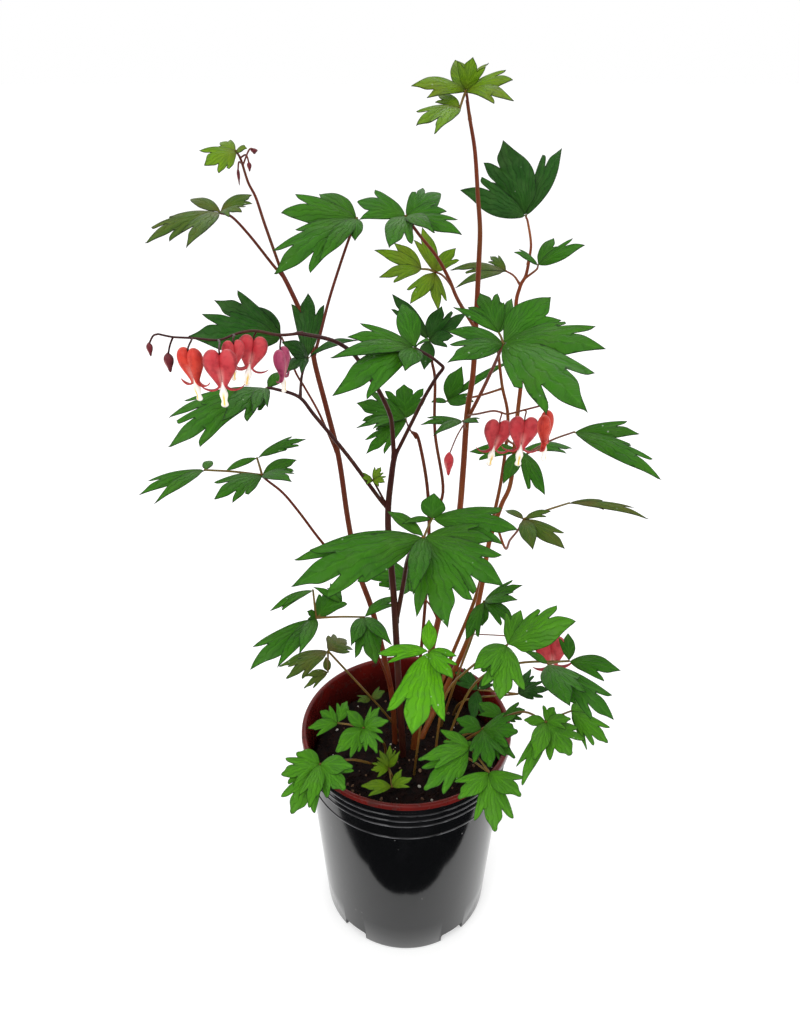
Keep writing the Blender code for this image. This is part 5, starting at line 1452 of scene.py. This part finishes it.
# Each heart: the top, its depth and size in millimetres, its lean and turn in degrees, and whether the
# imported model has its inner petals
hearts = {
    "heart_left_1": ((188, 350), -98, 17.5, 6, -32, True),
    "heart_left_2": ((219, 352), -113, 18.2, 0, 5, True),
    "heart_left_3": ((254, 338), -89, 17, -14, 12, True),
    "heart_left_4": ((233, 342), -100, 13, -4, 30, False),
    "heart_left_5": ((281, 350), -86, 15.0, 0, 75, False),
    "heart_right_1": ((500, 422), -33, 19.5, -10, 12, True),
    "heart_right_2": ((525, 419), -47, 20, -4, 0, True),
    "heart_right_3": ((546, 415), -66, 18.5, 2, 68, False),
    "heart_low": ((550, 640), -30, 25, 10, 0, False),
}

# Hearts. Each outer petal is a row of rings: how far out, how far down, half width and half depth; the
# inner petals' rings are how far down and how wide. All are shares of the heart's size
heartShape = {
    "rings": (
        (0.250, -0.070, 0.020, 0.020), (0.255, -0.045, 0.140, 0.130), (0.260, 0.030, 0.260, 0.245),
        (0.265, 0.140, 0.335, 0.310), (0.260, 0.280, 0.355, 0.330), (0.245, 0.420, 0.330, 0.310),
        (0.200, 0.580, 0.255, 0.250), (0.150, 0.720, 0.175, 0.190), (0.110, 0.840, 0.105, 0.150),
        (0.130, 0.930, 0.050, 0.135), (0.260, 1.000, 0.036, 0.130), (0.440, 1.010, 0.032, 0.110),
        (0.620, 0.960, 0.026, 0.070), (0.740, 0.880, 0.012, 0.020),
    ),
    "out": 0.76,
    "wide": 0.66,
    "deep": 0.60,
    "sides": 28,
    "steps": 3,
    "innerSides": 16,
    "innerRings": ((0.78, 0.045), (0.90, 0.060), (1.02, 0.085), (1.13, 0.112), (1.23, 0.090), (1.32, 0.074),
                   (1.40, 0.098), (1.45, 0.085), (1.485, 0.030)),
}

petalColours = {
    "coral": {"base": (0.46, 0.024, 0.034), "pale": (0.62, 0.12, 0.12), "deep": (0.20, 0.005, 0.012)},
    "orange": {"base": (0.54, 0.026, 0.014), "pale": (0.68, 0.12, 0.06), "deep": (0.28, 0.006, 0.006)},
    "purple": {"base": (0.34, 0.034, 0.100), "pale": (0.50, 0.15, 0.22), "deep": (0.19, 0.010, 0.050)},
    "maroon": {"base": (0.110, 0.010, 0.016), "pale": (0.22, 0.030, 0.036), "deep": (0.045, 0.004, 0.007)},
}
petalColourOf = {"heart_left_1": "orange", "heart_left_5": "purple", "heart_right_3": "orange"}


def heartFrame(lean, turn):
    lean, turn = math.radians(lean), math.radians(turn)
    down = Vector((math.sin(lean), 0, -math.cos(lean)))
    across = Vector((math.cos(turn) * math.cos(lean), math.sin(turn), math.sin(lean) * math.cos(turn)))
    across = (across - down * across.dot(down)).normalized()
    return across, down.cross(across), down


# a closed skin to fill: way runs from the top to the tip, round runs round it
def emptySkin():
    return {"points": [], "faces": [], "way": [], "round": []}


# adds a closed skin through rings; each ring is (centre, wide axis, deep axis, its share of the way)
def addSkin(shape, rings, sides):
    first = len(shape["points"])
    for centre, wide, deep, share in rings:
        for side in range(sides):
            angle = 2 * math.pi * side / sides
            shape["points"].append(centre + wide * math.cos(angle) + deep * math.sin(angle))
            shape["way"].append(share)
            shape["round"].append(math.cos(angle) * 0.5 + 0.5)
    faces = [tuple(first + side for side in reversed(range(sides)))]
    last = first + (len(rings) - 1) * sides
    faces.append(tuple(last + side for side in range(sides)))
    for ring in range(len(rings) - 1):
        for side in range(sides):
            a = first + ring * sides + side
            b = first + ring * sides + (side + 1) % sides
            faces.append((a, b, b + sides, a + sides))
    shape["faces"] += faces


def skinPiece(name, shape, paint):
    marks = {"way": shape["way"], "round": shape["round"]}
    piece = meshPiece(name, shape["points"], shape["faces"], [paint], marks)
    faceOut(piece)
    smoothFaces(piece, 60)
    return piece


def outerPetal(shape, top, frameOf, size, side):
    across, front, down = frameOf
    keys = [Vector(ring) for ring in heartShape["rings"]]
    path = smoothRun(keys, heartShape["steps"])
    rings = []
    for i, (out, level, wide, deep) in enumerate(path):
        before, after = path[max(i - 1, 0)], path[min(i + 1, len(path) - 1)]
        way = Vector((after[0] - before[0], after[1] - before[1])).normalized()
        bend = min(1.0, max(0.0, (level - 0.72) / 0.2)) if i > len(path) * 0.5 else 0.0
        flat = Vector((1.0, 0.0)).lerp(Vector((way.y, -way.x)), bend).normalized()
        centre = top + across * side * out * heartShape["out"] * size + down * level * size
        wideAxis = (across * side * flat.x + down * flat.y) * max(wide, 0.004) * heartShape["wide"] * size
        deepAxis = front * max(deep, 0.004) * heartShape["deep"] * size
        rings.append((centre, wideAxis, deepAxis, i / (len(path) - 1)))
    addSkin(shape, rings, heartShape["sides"])


def innerPetals(top, frameOf, size):
    across, front, down = frameOf
    path = smoothRun([Vector(ring) for ring in heartShape["innerRings"]], heartShape["steps"])
    rings = []
    for i, (level, wide) in enumerate(path):
        centre = top + down * level * size
        rings.append((centre, across * wide * size, front * wide * 0.8 * size, i / (len(path) - 1)))
    shape = emptySkin()
    addSkin(shape, rings, heartShape["innerSides"])
    return shape


def petalPaint(name, colours):
    paint = Paint(name, 0.42, sheen=0.03, shine=0.25)
    way = paint.attribute("way")
    around = paint.attribute("round")
    cloud = paint.noise(130.0, 2.0)
    lines = (around * 26.0 + cloud * 1.2).sum("FRACT")
    veins = (lines - 0.5).sum("ABSOLUTE").ramp(0.12, 0.0)
    mottle = paint.noise(340.0, 3.0).ramp(0.48, 0.66)
    edge = around.ramp(0.80, 1.0) + way.ramp(0.62, 0.80) * 0.6
    skin = paint.mix(colours["base"], colours["pale"], (cloud * 1.2 - 0.35).ramp(0.0, 1.0) * 0.6)
    skin = paint.mix(skin, colours["deep"], (veins * 0.25 + mottle * 0.42 + edge * 0.55).ramp(0.0, 1.0))
    skin = paint.mix(skin, colours["pale"], way.ramp(0.12, 0.0) * 0.4)
    # the pale blush where the two petals meet low down
    blush = around.ramp(0.35, 0.05) * way.ramp(0.34, 0.48) * way.ramp(0.72, 0.60)
    skin = paint.mix(skin, (0.80, 0.42, 0.38), blush * 0.6)
    paint.feed("Base Color", skin)
    paint.feed("Roughness", 0.36 + cloud * 0.15)
    paint.bump(veins * -0.4 + cloud, 0.0003, 0.5)
    return paint.material


def innerPaint():
    paint = Paint("inner petal", 0.45, sheen=0.05, shine=0.3)
    way = paint.attribute("way")
    around = paint.attribute("round")
    cloud = paint.noise(260.0, 2.0)
    skin = paint.mix((0.88, 0.85, 0.80), (0.80, 0.72, 0.62), cloud.ramp(0.4, 0.7))
    middle = (around - 0.5).sum("ABSOLUTE").ramp(0.22, 0.05)
    skin = paint.mix(skin, (0.78, 0.50, 0.06), middle * way.ramp(0.25, 0.45) * way.ramp(0.90, 0.70))
    skin = paint.mix(skin, (0.22, 0.10, 0.19), way.ramp(0.80, 0.97) * cloud.ramp(0.30, 0.60) * 0.8)
    paint.feed("Base Color", skin)
    paint.bump(cloud, 0.0002, 0.4)
    return paint.material


def makeHearts(paints):
    white = innerPaint()
    for name, (spot, depth, size, lean, turn, hasInner) in hearts.items():
        frameOf = heartFrame(lean, turn)
        top = place(*spot, depth)
        shape = emptySkin()
        for side in (-1, 1):
            outerPetal(shape, top, frameOf, size * mm, side)
        outer = skinPiece(name + "_petals", shape, paints[petalColourOf.get(name, "coral")])
        enter(outer, name)
        inner = skinPiece(name + "_white", innerPetals(top, frameOf, size * mm), white)
        enter(inner, name + "_inner" if hasInner else None)
    print("hearts:", len(hearts))


# Buds. Rings from the top to the tip: how far down in bud lengths, and how wide in half bud widths
budShape = {
    "rings": ((0.00, 0.10), (0.06, 0.42), (0.20, 0.86), (0.36, 1.00), (0.55, 0.86), (0.74, 0.52),
              (0.88, 0.36), (0.97, 0.20), (1.00, 0.05)),
    "steps": 3,
    "sides": 16,
}
budColourOf = {"shoot_front": "maroon", "shoot_left": "maroon", "shoot_tall": "coral"}


def makeBuds(paints):
    path = smoothRun([Vector(ring) for ring in budShape["rings"]], budShape["steps"])
    for name, group in buds.items():
        shape = emptySkin()
        for _, _, spot, width, length in group:
            top = place(*spot) + Vector((0, 0, length * 0.12 * mm))
            rings = []
            for i, (level, wide) in enumerate(path):
                centre = top - Vector((0, 0, level * length * mm))
                reach = max(wide, 0.05) * width / 2 * mm
                across, front = Vector((reach, 0, 0)), Vector((0, reach * 0.8, 0))
                rings.append((centre, across, front, i / (len(path) - 1)))
            addSkin(shape, rings, budShape["sides"])
        enter(skinPiece(name + "_buds", shape, paints[budColourOf[name]]))
    print("buds:", sum(len(group) for group in buds.values()))


# Floor, light and camera
studio = {
    "floorSide": 60.0,
    "floorDrop": 0.4 * mm,
    "floorColour": (0.72, 0.72, 0.72),
    "floorGlow": 0.34,
    "worldLight": 1.0,
    # the dark card that the pot's front mirrors: one half of its outline, from the middle of its near edge
    "card": ((0.0, -0.116), (0.08, -0.106), (0.30, 0.02), (2.0, 0.40), (2.0, -4.0)),
    "cardLevel": 1 * mm,
    "cardColour": (0.004, 0.004, 0.005),
    # name, place, size, power
    "lamps": (
        ("key", (-1.1, -1.5, 1.9), 1.6, 26.0),
        ("fill", (1.5, -1.0, 1.2), 1.4, 8.0),
        ("back", (0.3, 1.6, 1.7), 1.5, 8.0),
    ),
    "lampTarget": (0.0, 0.0, 0.28),
}


def makeFloor():
    side = studio["floorSide"] / 2
    paint = Paint("pale floor", 0.6)
    paint.shader.inputs["Base Color"].default_value = (*studio["floorColour"], 1.0)
    paint.shader.inputs["Emission Color"].default_value = (1.0, 1.0, 1.0, 1.0)
    paint.shader.inputs["Emission Strength"].default_value = studio["floorGlow"]
    corners = [(-side, -side, 0), (side, -side, 0), (side, side, 0), (-side, side, 0)]
    floor = meshPiece("floor", corners, [(0, 1, 2, 3)], [paint.material])
    floor.location.z = -studio["floorDrop"]


# only mirror reflections see the card
def makeCard():
    paint = Paint("dark card", 0.9, shine=0.0)
    paint.shader.inputs["Base Color"].default_value = (*studio["cardColour"], 1.0)
    outline = [(x, y, 0) for x, y in studio["card"]]
    outline += [(-x, y, 0) for x, y in reversed(studio["card"][1:])]
    card = meshPiece("dark_card", outline, [tuple(reversed(range(len(outline))))], [paint.material])
    card.location.z = studio["cardLevel"]
    card.visible_camera = False
    card.visible_diffuse = False
    card.visible_shadow = False


def makeLights():
    world = bpy.data.worlds.new("pale room")
    world.use_nodes = True
    world.node_tree.nodes["Background"].inputs["Color"].default_value = (1.0, 1.0, 1.0, 1.0)
    world.node_tree.nodes["Background"].inputs["Strength"].default_value = studio["worldLight"]
    bpy.context.scene.world = world
    for name, spot, size, power in studio["lamps"]:
        data = bpy.data.lights.new(name, "AREA")
        data.size = size
        data.energy = power
        lamp = bpy.data.objects.new(name, data)
        lamp.location = spot
        aim = Vector(studio["lampTarget"]) - Vector(spot)
        lamp.rotation_euler = aim.to_track_quat("-Z", "Y").to_euler()
        bpy.context.scene.collection.objects.link(lamp)


def makeCamera():
    data = bpy.data.cameras.new("camera")
    data.sensor_fit = "AUTO"
    data.sensor_width = view["filmSide"]
    data.lens = view["filmSide"] * view["focal"] / view["height"]
    camera = bpy.data.objects.new("camera", data)
    camera.location = view["eye"]
    camera.rotation_euler = (math.radians(90) - view["pitch"], 0.0, 0.0)
    bpy.context.scene.collection.objects.link(camera)
    bpy.context.scene.camera = camera
    bpy.context.scene.view_settings.view_transform = "Standard"


makeFloor()
makeCard()
makeLights()
makeCamera()
makePot()
makeSoil()
stemNodes = stemTree()
makeShoots()
makeLeaves()
petalPaints = {key: petalPaint("petal " + key, colours) for key, colours in petalColours.items()}
makeHearts(petalPaints)
makeBuds(petalPaints)
